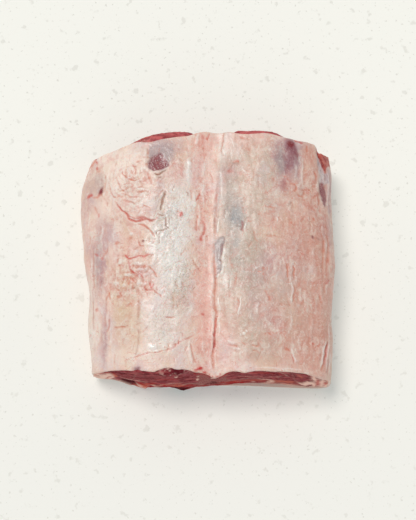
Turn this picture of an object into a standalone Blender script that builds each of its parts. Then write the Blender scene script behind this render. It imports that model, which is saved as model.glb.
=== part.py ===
"""A raw lamb saddle: both loins still joined on the backbone, fat side up, flanks folded underneath.

It is one closed solid. A subdivided cube is bent into it: each point of the cube is a share across (u),
along (v) and up (w), from -1 to 1, and the functions below turn those shares into the outline of the
cross-section, the plan of the two cut ends and the relief of the fat cover and the cut faces.

Metres, +Z up. +X is the saddle's right, +Y runs along the backbone to the far end, and the origin is on
the surface that the saddle lies on, under the middle of its box.
"""

import math

import bmesh
import bpy
import numpy as np

# Driving dimensions
LENGTH = 0.190
WIDTH = 0.191
HEIGHT = 0.064

# Cuts of the cube
ACROSS_CUTS = 39
ALONG_CUTS = 33
UP_CUTS = 11

# Plan: half widths at shares of the length, from the near end (-1) to the far end (1)
LEFT_HALF_WIDTH = (
    (-1.0, 0.0846), (-0.86, 0.0852), (-0.55, 0.0887), (-0.27, 0.0873), (0.0, 0.0908),
    (0.36, 0.0942), (0.60, 0.0954), (0.86, 0.0934), (1.0, 0.0884),
)
RIGHT_HALF_WIDTH = (
    (-1.0, 0.0898), (-0.75, 0.0919), (-0.43, 0.0916), (-0.18, 0.0940), (-0.04, 0.0960),
    (0.29, 0.0949), (0.61, 0.0936), (0.93, 0.0935), (1.0, 0.0922),
)

# Plan of the two cut ends: how far each lies behind its furthest edge, at places across, and how far
# the near face's foot leans out
NEAR_SETBACK = (
    (-0.096, 0.0100), (-0.085, 0.0072), (-0.071, 0.0064), (-0.060, 0.0034), (-0.044, 0.0006),
    (-0.020, 0.0004), (0.0, 0.0026), (0.020, 0.0036), (0.060, 0.0036), (0.078, 0.0022), (0.096, 0.0010),
)
NEAR_FOOT_LEAN = (
    (-0.096, 0.0), (-0.062, 0.0010), (-0.020, 0.0014), (-0.004, 0.0022), (0.006, 0.0022),
    (0.024, 0.0010), (0.055, 0.0012), (0.070, 0.0016), (0.084, 0.0026), (0.096, 0.0024),
)
LEAN_TOP = 0.75 * HEIGHT
FAR_SETBACK = (
    (-0.096, 0.0200), (-0.086, 0.0130), (-0.078, 0.0098), (-0.066, 0.0108), (-0.054, 0.0068),
    (-0.026, 0.0012), (0.0, 0.0), (0.048, 0.0020), (0.066, 0.0042), (0.075, 0.0052), (0.082, 0.0088),
    (0.096, 0.0125),
)

# Cross-section: a superellipse whose widest level is low, where the flank turns under
WIDEST_LEVEL = 0.33 * HEIGHT
NEAR_LEFT_LEVEL_DROP = 0.10 * HEIGHT
SIDE_POWER = 0.56
CROWN_POWER = 0.66
UNDER_POWER = 0.52
UNDER_FLAT = 0.0022
CORNER_ANGLE = math.radians(38)
CORE_LEVEL = 0.46 * HEIGHT

# Crown along the length, from the near end (-1) to the far end (1), as shares of the height
CROWN_ALONG = ((-1.0, 0.82), (-0.4, 0.925), (0.15, 0.985), (1.0, 0.95))

# Relief of the fat cover
SPINE_X = 0.004
SPINE_WIDTH = 0.0032
SPINE_DEPTH = 0.0030
VALLEY_WIDTH = 0.015
VALLEY_DEPTH = 0.0034
LOIN_X = 0.040
LOIN_WIDTH = 0.024
LOIN_RISE = 0.0018
LEFT_DROP = 0.0125
NEAR_LEFT_MORE_DROP = 0.35
RIGHT_DROP = 0.0030
DROP_FROM = 0.45

# Cut faces: the left and right loin eyes swell out of each face, and the midline sinks
EYE_X = 0.042
EYE_HALF_WIDTH = 0.034
NEAR_EYE_SWELLS = (0.0030, 0.0014)
FAR_EYE_SWELLS = (0.0052, 0.0052)
MIDLINE_WIDTH = 0.008
MIDLINE_SINK = 0.0020

# Flank edge at the far right: the cover stops in a lip, and the lean below it lies lower
LIP_ANGLE = math.radians(37)
LIP_SPREAD = math.radians(7)
STEP_FOOT_ANGLE = math.radians(4)
STEP_FROM_Y = 0.030
STEP_FULL_Y = 0.058
STEP_DEPTH = 0.0085

# Seam under the saddle, where the two folded flanks meet
SEAM_X = 0.0
SEAM_WIDTH = 0.0060
SEAM_DEPTH = 0.0040

FAT_COLOUR = (0.72, 0.46, 0.38, 1.0)
FAT_ROUGHNESS = 0.42


def bell(distance, width):
    """1 at no distance, falling off smoothly over about one width."""
    return np.exp(-((distance / width) ** 2))


def ease(low, high, value):
    """0 below low, 1 above high, and smooth between."""
    share = np.clip((value - low) / (high - low), 0.0, 1.0)
    return share * share * (3.0 - 2.0 * share)


def perimeter_angle(u, w):
    """The angle round the section of a point on the cube: the sides span CORNER_ANGLE up and down."""
    reach = np.maximum(np.maximum(np.abs(u), np.abs(w)), 1e-9)
    on_side = np.abs(u) >= np.abs(w)
    side = CORNER_ANGLE * w / reach
    crown = (math.pi / 2 - CORNER_ANGLE) * u / reach
    right_or_left = np.where(u > 0, side, math.pi - side)
    top_or_bottom = np.where(w > 0, math.pi / 2 - crown, crown - math.pi / 2)
    return np.where(on_side, right_or_left, top_or_bottom)


def curve_through(points, place):
    """A smooth curve through (place, size) points: a cubic between each two, sloped as their neighbours."""
    places, sizes = np.array(points).T
    slopes = np.gradient(sizes, places)
    left = np.clip(np.searchsorted(places, place) - 1, 0, len(places) - 2)
    span = places[left + 1] - places[left]
    share = np.clip((place - places[left]) / span, 0.0, 1.0)
    rest = 1.0 - share
    ends = sizes[left] * (1.0 + 2.0 * share) * rest**2 + sizes[left + 1] * (1.0 + 2.0 * rest) * share**2
    return ends + span * share * rest * (slopes[left] * rest - slopes[left + 1] * share)


def crown_height(x, v):
    """Height of the fat cover: highest past the middle, two loins with the backbone's valley between them."""
    height = HEIGHT * curve_through(CROWN_ALONG, v)
    drop = np.where(x < 0, LEFT_DROP * (1.0 + NEAR_LEFT_MORE_DROP * bell(v + 1.0, 0.5)), RIGHT_DROP)
    height = height - drop * ease(DROP_FROM, 1.0, np.abs(x) / (0.5 * WIDTH))
    height = height + LOIN_RISE * (bell(x - LOIN_X, LOIN_WIDTH) + bell(x + LOIN_X, LOIN_WIDTH))
    height = height - VALLEY_DEPTH * bell(x - SPINE_X, VALLEY_WIDTH)
    return height - SPINE_DEPTH * bell(x - SPINE_X, SPINE_WIDTH)


def section(angle, v):
    """The point (x, z) of the outline at that angle: 0 is the right side, a quarter turn the crown."""
    left, right = curve_through(LEFT_HALF_WIDTH, v), curve_through(RIGHT_HALF_WIDTH, v)
    across, up = np.cos(angle), np.sin(angle)
    x = np.where(across > 0, right, left) * np.sign(across) * np.abs(across) ** SIDE_POWER
    level = WIDEST_LEVEL - NEAR_LEFT_LEVEL_DROP * ease(0.0, 1.0, -across) * bell(v + 1.0, 0.6)
    over = level + (crown_height(x, v) - level) * np.abs(up) ** CROWN_POWER
    under = level - (level + UNDER_FLAT) * np.abs(up) ** UNDER_POWER
    return x, np.where(up > 0, over, np.maximum(under, 0.0))


def flank_step(angle, v):
    """How far the flank's lean lies below the cover's lip, on the right side near the far end."""
    below_lip = 1.0 - ease(LIP_ANGLE - LIP_SPREAD, LIP_ANGLE, angle)
    above_foot = ease(STEP_FOOT_ANGLE, LIP_ANGLE - LIP_SPREAD, angle)
    return STEP_DEPTH * below_lip * above_foot * ease(STEP_FROM_Y, STEP_FULL_Y, v * 0.5 * LENGTH)


def waver(x, z, phase):
    """The slight unevenness of a knife cut, within about a millimetre."""
    return 0.0006 * np.sin(x / 0.0085 + phase) + 0.0005 * np.sin(x / 0.0047 + 2.0 * phase + z / 0.012)


def face_swell(x, inside, swells):
    """How far the cut face stands out: its left and right eyes of loin, sunk along the midline and to the rim."""
    from_spine = x - SPINE_X
    left, right = swells
    swell = left + (right - left) * ease(-MIDLINE_WIDTH, MIDLINE_WIDTH, from_spine)
    eyes = bell(np.abs(from_spine) - EYE_X, EYE_HALF_WIDTH)
    return inside * (swell * eyes - MIDLINE_SINK * bell(from_spine, MIDLINE_WIDTH))


def saddle_points(u, v, w):
    """Turns shares of the cube into the saddle's points, in metres."""
    reach = np.maximum(np.abs(u), np.abs(w))
    angle = perimeter_angle(u, w)
    x, z = section(angle, v)
    seam = np.where(np.sin(angle) < 0, bell(x - SEAM_X, SEAM_WIDTH), 0.0)
    z = z + SEAM_DEPTH * seam - flank_step(angle, v)
    x_in, z_in = x * reach, CORE_LEVEL + (z - CORE_LEVEL) * reach
    near = curve_through(NEAR_SETBACK, x_in) - 0.5 * LENGTH + max(NEAR_EYE_SWELLS)
    near = near - curve_through(NEAR_FOOT_LEAN, x_in) * (1.0 - ease(0.0, LEAN_TOP, z_in))
    far = 0.5 * LENGTH - max(FAR_EYE_SWELLS) - curve_through(FAR_SETBACK, x_in)
    near, far = near + waver(x_in, z_in, 0.6), far + waver(x_in, z_in, 2.1)
    y = near + (far - near) * 0.5 * (v + 1.0)
    inside = 1.0 - reach**6
    y = np.where(v <= -1.0 + 1e-6, y - face_swell(x_in, inside, NEAR_EYE_SWELLS), y)
    y = np.where(v >= 1.0 - 1e-6, y + face_swell(x_in, inside, FAR_EYE_SWELLS), y)
    return np.column_stack((x_in, y, z_in))


def cut_along(mesh, axis, cuts):
    """Subdivides the edges that run along one axis."""
    edges = [e for e in mesh.edges if abs((e.verts[0].co - e.verts[1].co).normalized()[axis]) > 0.99]
    bmesh.ops.subdivide_edges(mesh, edges=edges, cuts=cuts, use_grid_fill=True)


def bent_cube():
    """The cube with its cuts, bent into the saddle and set on the origin by the middle of its box."""
    mesh = bmesh.new()
    bmesh.ops.create_cube(mesh, size=2.0)
    for axis, cuts in enumerate((ACROSS_CUTS, ALONG_CUTS, UP_CUTS)):
        cut_along(mesh, axis, cuts)
    shares = np.array([vertex.co for vertex in mesh.verts])
    points = saddle_points(*shares.T)
    low, high = points.min(axis=0), points.max(axis=0)
    points -= ((low[0] + high[0]) / 2, (low[1] + high[1]) / 2, low[2])
    for vertex, point in zip(mesh.verts, points):
        vertex.co = point
    bmesh.ops.recalc_face_normals(mesh, faces=mesh.faces)
    data = bpy.data.meshes.new("lamb_saddle")
    mesh.to_mesh(data)
    mesh.free()
    return data


def fat_material():
    material = bpy.data.materials.new("saddle_fat")
    material.use_nodes = True
    shader = material.node_tree.nodes["Principled BSDF"]
    shader.inputs["Base Color"].default_value = FAT_COLOUR
    shader.inputs["Roughness"].default_value = FAT_ROUGHNESS
    shader.inputs["Metallic"].default_value = 0.0
    return material


def main():
    for obj in list(bpy.data.objects):
        bpy.data.objects.remove(obj, do_unlink=True)
    collection = bpy.data.collections.new("lamb_saddle")
    bpy.context.scene.collection.children.link(collection)
    saddle = bpy.data.objects.new("lamb_saddle", bent_cube())
    saddle.data.materials.append(fat_material())
    saddle.data.shade_smooth()
    saddle.data.set_sharp_from_angle(angle=math.radians(50))
    collection.objects.link(saddle)


main()
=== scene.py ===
# %% [markdown]
# # A raw lamb saddle, surface by surface
# A saddle is the pair of loins still joined on the backbone. It lies fat side up: a wrinkled cover of fat
# and membrane on top, the flanks folded under, and a knife-cut face of dark lean at each end.
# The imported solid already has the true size, so it is loaded first and everything is built around it.

import math

import bpy
import numpy as np
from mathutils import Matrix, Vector


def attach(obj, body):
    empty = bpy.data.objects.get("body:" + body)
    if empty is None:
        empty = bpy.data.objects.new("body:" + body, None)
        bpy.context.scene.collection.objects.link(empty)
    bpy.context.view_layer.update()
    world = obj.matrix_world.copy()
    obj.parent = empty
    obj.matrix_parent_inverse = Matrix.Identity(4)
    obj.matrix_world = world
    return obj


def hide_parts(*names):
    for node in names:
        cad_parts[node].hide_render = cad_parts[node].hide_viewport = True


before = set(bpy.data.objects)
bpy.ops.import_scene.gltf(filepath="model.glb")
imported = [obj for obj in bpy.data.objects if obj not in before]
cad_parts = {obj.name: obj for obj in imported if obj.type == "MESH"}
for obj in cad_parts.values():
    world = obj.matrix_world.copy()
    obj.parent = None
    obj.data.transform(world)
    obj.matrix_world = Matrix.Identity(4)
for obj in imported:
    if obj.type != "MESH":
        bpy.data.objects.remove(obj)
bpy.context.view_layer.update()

# %% [markdown]
# ## A few curves
# Organic outlines are easiest to steer with three small functions: a bell for things that fade on both
# sides, an eased step for things that begin somewhere, and a smooth curve through a few places read off.
# All sizes below are in millimetres; only the finished mesh is turned into metres.

# %% Bells, steps and curves
MM = 0.001


def bell(distance, width):
    """1 at no distance, falling off as e to the minus (distance over width) squared."""
    return np.exp(-((distance / width) ** 2))


def ease(low, high, value):
    """0 below low, 1 above high, and 3s^2 - 2s^3 of the share s between."""
    share = np.clip((value - low) / (high - low), 0.0, 1.0)
    return share * share * (3.0 - 2.0 * share)


def curve_through(points, place):
    """A smooth curve through (place, size) points: a cubic between each two, sloped as their neighbours."""
    places, sizes = np.array(points, float).T
    slopes = np.gradient(sizes, places)
    left = np.clip(np.searchsorted(places, place) - 1, 0, len(places) - 2)
    span = places[left + 1] - places[left]
    share = np.clip((place - places[left]) / span, 0.0, 1.0)
    rest = 1.0 - share
    ends = sizes[left] * (1.0 + 2.0 * share) * rest**2 + sizes[left + 1] * (1.0 + 2.0 * rest) * share**2
    return ends + span * share * rest * (slopes[left] * rest - slopes[left + 1] * share)


# %% [markdown]
# ## The body of the saddle
# The solid is a superellipse section whose width, crown and level change along the backbone. Repeating
# the same formula here, rather than reading the solid's coarse mesh, gives a smooth surface at any
# density; the section's spans are printed below.

# %% The section and the plan
WIDTH, HEIGHT = 191.0, 64.0
LEFT_HALF_WIDTH = (
    (-1, 85.3), (-0.86, 85.9), (-0.55, 89.2), (-0.27, 88.1), (0, 91.5), (0.36, 94.6), (0.60, 95.4),
    (0.86, 93.4), (1, 88.4),
)
RIGHT_HALF_WIDTH = (
    (-1, 91.7), (-0.75, 93.5), (-0.43, 93.4), (-0.18, 95.2), (-0.04, 96.1), (0.29, 95.2), (0.61, 94),
    (0.93, 94.5), (1, 93.4),
)
NEAR_SETBACK = (
    (-96, 10), (-85, 7.2), (-71, 6.4), (-60, 3.4), (-44, 0.6), (-20, 0.4), (0, 2.6), (20, 3.6), (60, 3.6),
    (78, 2.2), (96, 1),
)
NEAR_FOOT_LEAN = (
    (-96, 0), (-62, 1), (-20, 1.4), (-4, 2.2), (6, 2.2), (24, 1), (55, 1.2), (70, 1.6), (84, 2.6), (96, 2.4),
)
FAR_SETBACK = (
    (-96, 20), (-86, 13), (-78, 9.8), (-66, 10.8), (-54, 6.8), (-26, 1.2), (0, 0), (48, 2), (66, 4.2),
    (75, 5.2), (82, 8.8), (96, 12.5),
)
CROWN_ALONG = ((-1.0, 0.82), (-0.4, 0.925), (0.15, 0.985), (1.0, 0.95))
WIDEST_LEVEL = 0.33 * HEIGHT
SPINE_X, LOIN_X = 4.0, 40.0
SHIFT_X, SHIFT_Y = -0.45, 0.86
NEAR_EDGE_Y, FAR_EDGE_Y = -92.0 + SHIFT_Y, 89.8 + SHIFT_Y
SIDE_POWER, UPPER_POWER, UNDER_POWER = 0.56, 0.66, 0.52
LEFT_DROP, RIGHT_DROP = 12.5, 3.0
LOIN_RISE, LOIN_SPREAD = 1.8, 24.0
VALLEY_DEPTH, VALLEY_SPREAD = 3.4, 15.0
FOOT_DEPTH = 2.2


def crown_height(x, v):
    """Height of the cover: the curve along the backbone, less the side drops, plus loins, less the valley."""
    drop = np.where(x < 0, LEFT_DROP * (1.0 + 0.35 * bell(v + 1.0, 0.5)), RIGHT_DROP)
    height = HEIGHT * curve_through(CROWN_ALONG, v) - drop * ease(0.45, 1.0, np.abs(x) / (0.5 * WIDTH))
    height = height + LOIN_RISE * (bell(x - LOIN_X, LOIN_SPREAD) + bell(x + LOIN_X, LOIN_SPREAD))
    return height - VALLEY_DEPTH * bell(x - SPINE_X, VALLEY_SPREAD)


def section(angle, v):
    """The outline's point (x, z): powers of a cosine across, and of a sine above and below the level."""
    left, right = curve_through(LEFT_HALF_WIDTH, v), curve_through(RIGHT_HALF_WIDTH, v)
    across, up = np.cos(angle), np.sin(angle)
    x = np.where(across > 0, right, left) * np.sign(across) * np.abs(across) ** SIDE_POWER
    level = WIDEST_LEVEL - 0.10 * HEIGHT * ease(0.0, 1.0, -across) * bell(v + 1.0, 0.6)
    over = level + (crown_height(x, v) - level) * np.abs(up) ** UPPER_POWER
    under = np.maximum(level - (level + FOOT_DEPTH) * np.abs(up) ** UNDER_POWER, 0.0)
    return x + SHIFT_X, np.where(up > 0, over, under)


angles = np.linspace(-math.pi, math.pi, 721)
outline = np.array([section(angles, v) for v in np.linspace(-1, 1, 41)])
outline_x, outline_z = outline[:, 0], outline[:, 1]
print("section spans", outline_x.min().round(1), outline_x.max().round(1), "height", outline_z.max().round(1))

# %% [markdown]
# ## Noise made of whole arrays
# Fat has no straight line in it. Each octave of noise scrambles the numbers of a lattice cell into a random
# value and blends the eight corners. It reads the place in space, so it never stretches on the steep flanks.

# %% Lattice noise
def lattice(cell, seed):
    """A number from -1 to 1 for each cell: its three whole numbers multiplied, mixed by XOR and scrambled."""
    mixed = (cell[..., 0] * 73856093) ^ (cell[..., 1] * 19349663) ^ (cell[..., 2] * 83492791) ^ (seed * 40503)
    mixed = ((mixed ^ (mixed >> 13)) * 1274126177) & 0xFFFFFFFF
    return ((mixed ^ (mixed >> 16)) & 0xFFFF) / 32767.5 - 1.0


def noise(places, size, seed):
    """Smooth noise from -1 to 1: the lattice's corners `size` apart, blended by s^3(6s^2 - 15s + 10)."""
    scaled = places / np.asarray(size, float)
    cell = np.floor(scaled).astype(np.int64)
    share = scaled - cell
    share = share**3 * (share * (share * 6.0 - 15.0) + 10.0)
    total = np.zeros(places.shape[:-1])
    for corner in np.ndindex(2, 2, 2):
        weight = np.prod(np.where(np.array(corner) == 1, share, 1.0 - share), axis=-1)
        total += weight * lattice(cell + np.array(corner), seed)
    return total


def warped(places, reach, size, seed):
    """The places pushed about by noise, up to `reach` each way."""
    push = np.stack([noise(places, size, seed + axis) for axis in range(3)], axis=-1)
    return places + reach * push


def wrinkles(places, size, seed):
    """Sharp little ridges, 0 to 1: one minus the size of warped noise, squared."""
    mean = np.mean(size)
    pushed = warped(places, 0.5 * mean, 1.7 * mean, seed + 7)
    return (1.0 - np.abs(noise(pushed, size, seed))) ** 2


# %% [markdown]
# ## Strokes and spots
# What makes this saddle this one is where its folds, veins and bruises lie. Each is a short listed line
# or spot, in millimetres across and along, that both shapes the surface and tints it. A line is smoothed
# first, then every vertex near it finds its distance to the nearest stretch.

# %% Distance to a hand-placed line
def smooth_line(points, steps=5):
    """A Catmull-Rom curve through the points: each stretch is a cubic with its neighbours' slopes."""
    knots = np.array(points, float)
    if len(knots) < 3:
        return knots
    spots = np.arange(len(knots))
    fine = np.linspace(0, len(knots) - 1, steps * (len(knots) - 1) + 1)
    return np.column_stack([curve_through(np.column_stack((spots, knots[:, a])), fine) for a in range(2)])


def line_distance(places, points, reach):
    """Which places lie within reach of the line, how far off, on which side, and how far along (0 to 1)."""
    line = smooth_line(points)
    low, high = line.min(axis=0) - reach, line.max(axis=0) + reach
    near = np.flatnonzero(np.all((places > low) & (places < high), axis=1))
    here = places[near]
    best, side, share = np.full(len(near), 1e9), np.ones(len(near)), np.zeros(len(near))
    for k, (start, end) in enumerate(zip(line[:-1], line[1:])):
        run = end - start
        t = np.clip(((here - start) @ run) / (run @ run), 0.0, 1.0)
        gap = here - start - t[:, None] * run
        distance = np.hypot(*gap.T)
        closer = distance < best
        best = np.where(closer, distance, best)
        side = np.where(closer, np.sign(run[0] * gap[:, 1] - run[1] * gap[:, 0]), side)
        share = np.where(closer, (k + t) / (len(line) - 1), share)
    return near, best, side, share


def inside(places, corners, soft):
    """A closed outline's inside, 1 within and 0 without, eased over `soft` either side of its rim."""
    ring = np.array(corners + corners[:1], float)
    best = np.full(len(places), 1e9)
    crossings = np.zeros(len(places), int)
    for start, end in zip(ring[:-1], ring[1:]):
        run = end - start
        t = np.clip(((places - start) @ run) / (run @ run), 0.0, 1.0)
        best = np.minimum(best, np.hypot(*(places - start - t[:, None] * run).T))
        straddles = (start[1] > places[:, 1]) != (end[1] > places[:, 1])
        rise = np.where(run[1] == 0, 1e-9, run[1])
        crossings += straddles & (places[:, 0] < start[0] + (places[:, 1] - start[1]) * run[0] / rise)
    return ease(-soft, soft, np.where(crossings % 2 == 1, best, -best))


class Surface:
    """A set of places with a relief and named layers of paint, which strokes and spots are added to."""

    def __init__(self, across, along, solid_places, mask):
        self.flat = np.column_stack((across, along))
        wobble = [
            0.45 * noise(solid_places, 3.1, 50 + axis) + 0.8 * noise(solid_places, 9.0, 60 + axis)
            for axis in range(2)
        ]
        self.places = self.flat + np.column_stack(wobble)
        self.solid = solid_places
        self.uneven = 1.0 + 0.45 * noise(solid_places, 2.4, 70)
        self.mask = mask
        self.relief = np.zeros(len(across))
        self.layers = {}

    def add(self, layer, near, amount):
        """Paints over: what is left of the bare surface is multiplied by one minus the amount."""
        paint = self.layers.setdefault(layer, np.zeros(len(self.flat)))
        amount = np.clip(amount * self.mask[near], 0.0, 1.0)
        paint[near] = 1.0 - (1.0 - paint[near]) * (1.0 - amount)

    def line(self, layer, strength, width, height, points):
        """Paint by a bell of the line's width, and a ridge (height above 0) or a groove with shoulders."""
        near, distance, _, share = line_distance(self.places, points, 4.0 * width)
        ends = np.sqrt(np.clip(np.minimum(share, 1.0 - share) * 6.0, 0.12, 1.0))
        spread = width * ends * self.uneven[near]
        self.add(layer, near, strength * np.sqrt(ends) * bell(distance, spread))
        shoulders = 0.35 * bell(distance - 2.0 * width, width) if height < 0 else 0.0
        self.relief[near] += height * ends * (bell(distance, spread) - shoulders) * self.mask[near]

    def fold(self, width, height, points):
        """A lip: the left-hand side of the line stands height above the right, falling back over 6 widths."""
        near, distance, side, share = line_distance(self.places, points, 12.0 * width)
        ends = ease(0.0, 0.25, np.minimum(share, 1.0 - share))
        raised = np.where(side > 0, bell(distance, 6.0 * width), -0.5 * bell(distance, 1.5 * width))
        blend = ease(0.0, 0.35 * width, distance)
        self.relief[near] += height * ends * raised * blend * self.mask[near]

    def spot(self, layer, strength, x, y, half_x, half_y, turn=0.0, height=0.0, edge=0.6):
        """A soft-edged ellipse: full inside `edge` of its radius, ragged by noise, gone at its rim."""
        a = math.radians(turn)
        dx, dy = self.places[:, 0] - x, self.places[:, 1] - y
        across, along = dx * math.cos(a) + dy * math.sin(a), dy * math.cos(a) - dx * math.sin(a)
        radius = np.hypot(across / half_x, along / half_y)
        near = np.flatnonzero(radius < 1.5)
        radius = radius[near] + 0.16 * noise(self.solid[near], 0.55 * min(half_x, half_y) + 1.2, 80)
        amount = 1.0 - ease(edge * 0.85, 1.15, radius)
        self.add(layer, near, strength * amount)
        self.relief[near] += height * amount * self.mask[near]

    def patch(self, layer, strength, soft, height, corners):
        """A closed outline filled in, its rim eased over `soft` and made ragged by noise."""
        low, high = np.min(corners, axis=0) - 2 * soft - 2, np.max(corners, axis=0) + 2 * soft + 2
        near = np.flatnonzero(np.all((self.places > low) & (self.places < high), axis=1))
        ragged = self.places[near] + 0.5 * soft * noise(self.solid[near], 1.7, 90)[:, None]
        amount = inside(ragged, corners, soft)
        self.add(layer, near, strength * amount)
        self.relief[near] += height * amount * self.mask[near]


# %% [markdown]
# ## The fat cover's grid
# The cover is a closed skin round the whole section. Its columns are spread by a weight, close together on
# the top and sides that show and wide apart underneath, and its rows run between two ragged knife edges.

# %% Columns round the section, rows along it
COLUMNS, ROWS = 376, 242
UNDERSIDE_SHARE = 0.24


def spread_columns():
    """Angles spaced evenly by weighted arc length, where the underside counts for less."""
    fine = np.linspace(-0.5 * math.pi, 1.5 * math.pi, 12001)
    x, z = section(fine, 0.0)
    steps = np.hypot(np.diff(x), np.diff(z))
    low = (z[1:] < 3.0) & (np.abs(x[1:]) < 84)
    reach = np.concatenate(([0.0], np.cumsum(steps * np.where(low, UNDERSIDE_SHARE, 1.0))))
    return np.interp(np.arange(COLUMNS) / COLUMNS * reach[-1], reach, fine)


NEAR_EDGE = (
    (-97, -83.5), (-84, -84.9), (-76, -84.8), (-70, -85), (-65, -85.7), (-60, -86.4), (-55, -87.3),
    (-52, -86.7), (-48, -87.9), (-44, -88.5), (-41, -88.9), (-38.5, -89), (-36, -88), (-33.5, -87.2),
    (-31, -86.3), (-28.5, -86), (-26, -86.3), (-23.5, -87), (-21, -87.3), (-18, -87), (-15, -87.2),
    (-12, -87.8), (-9, -88.6), (-5, -88.9), (0, -90.2), (4, -92.3), (7, -92.4), (10, -91.2), (13, -89.4),
    (16, -88.4), (20, -88.2), (23, -88.8), (26, -89.6), (30, -89), (34, -88.3), (40, -88.2), (50, -88.3),
    (64, -88.4), (72, -89), (78, -90.2), (85, -91.6), (97, -92.4),
)
UNDER_EDGE = (
    (-97, 0), (-70, -0.8), (-52, -1.8), (-36, -2.8), (-14, -2.4), (0, -1.6), (10, -1), (20, 0.3), (32, 1.2),
    (68, 1.3), (80, 0.3), (97, 0),
)
FAR_EDGE = (
    (-97, 69), (-91, 73), (-86, 75.2), (-80, 77.3), (-70, 78.8), (-60, 81), (-52, 82.4), (-46, 81.6),
    (-41, 82), (-36, 83.4), (-28, 84.9), (-22, 86), (-17, 86.6), (-13, 87.4), (-8, 89.4), (-2, 90.9),
    (2, 90.6), (5, 90), (8, 89.7), (16, 90.1), (22, 88.7), (28, 87.9), (35, 88.2), (44, 88.7), (52, 87.4),
    (60, 86), (68, 84.8), (76, 84.7), (79, 84.2), (81, 83.6), (82.3, 82), (83.4, 79.6), (86, 79.4),
    (97, 77.6),
)
columns = spread_columns()
rows = np.linspace(-1.0, 1.0, ROWS)


def foot_lean(x, z):
    """How far the near end leans out: the amount at x, times 1 at the bottom and 0 at three quarters up."""
    return curve_through(NEAR_FOOT_LEAN, x) * (1.0 - ease(0.0, 0.75 * HEIGHT, z))


def body_grid(angle, v):
    """Places on the smooth body: the section at v, laid between the near and the far edge at that x."""
    x, z = section(angle, v)
    top = ease(0.15, 0.5, np.sin(angle))
    near_low = NEAR_EDGE_Y + curve_through(NEAR_SETBACK, x) - foot_lean(x, z) - curve_through(UNDER_EDGE, x)
    far_low = FAR_EDGE_Y - curve_through(FAR_SETBACK, x)
    near = near_low + (curve_through(NEAR_EDGE, x) - near_low) * top
    far = far_low + (curve_through(FAR_EDGE, x) - far_low) * top
    return np.stack((x, near + (far - near) * 0.5 * (v + 1.0), z), axis=-1)


def grid_normals(grid):
    """Outward normals: the cross product of the steps round (closed) and along the grid."""
    round_step = np.roll(grid, -1, axis=1) - np.roll(grid, 1, axis=1)
    along_step = np.gradient(grid, axis=0)
    normal = np.cross(along_step, round_step)
    return normal / np.maximum(np.linalg.norm(normal, axis=-1, keepdims=True), 1e-9)


angle_grid, v_grid = np.meshgrid(columns, rows)
body = body_grid(angle_grid, v_grid)
normals = grid_normals(body)
middle_row = body[ROWS // 2]
column_gap = np.linalg.norm(np.diff(middle_row, axis=0), axis=1).min()
outward = bool(normals[ROWS // 2, np.argmax(middle_row[:, 2]), 2] > 0)
print("cover grid", body.shape[:2], "closest columns", column_gap.round(2), "mm; outward:", outward)

# %% [markdown]
# ## Where the fat changes colour
# Under the membrane lie cream and straw-coloured fat, rosy tissue along the backbone, salmon on the right
# flank, mauve where lean shows through and grey bruises. They are broad soft spots, layer by layer: name,
# strength, place across and along, half sizes, and a turn in degrees.

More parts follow.
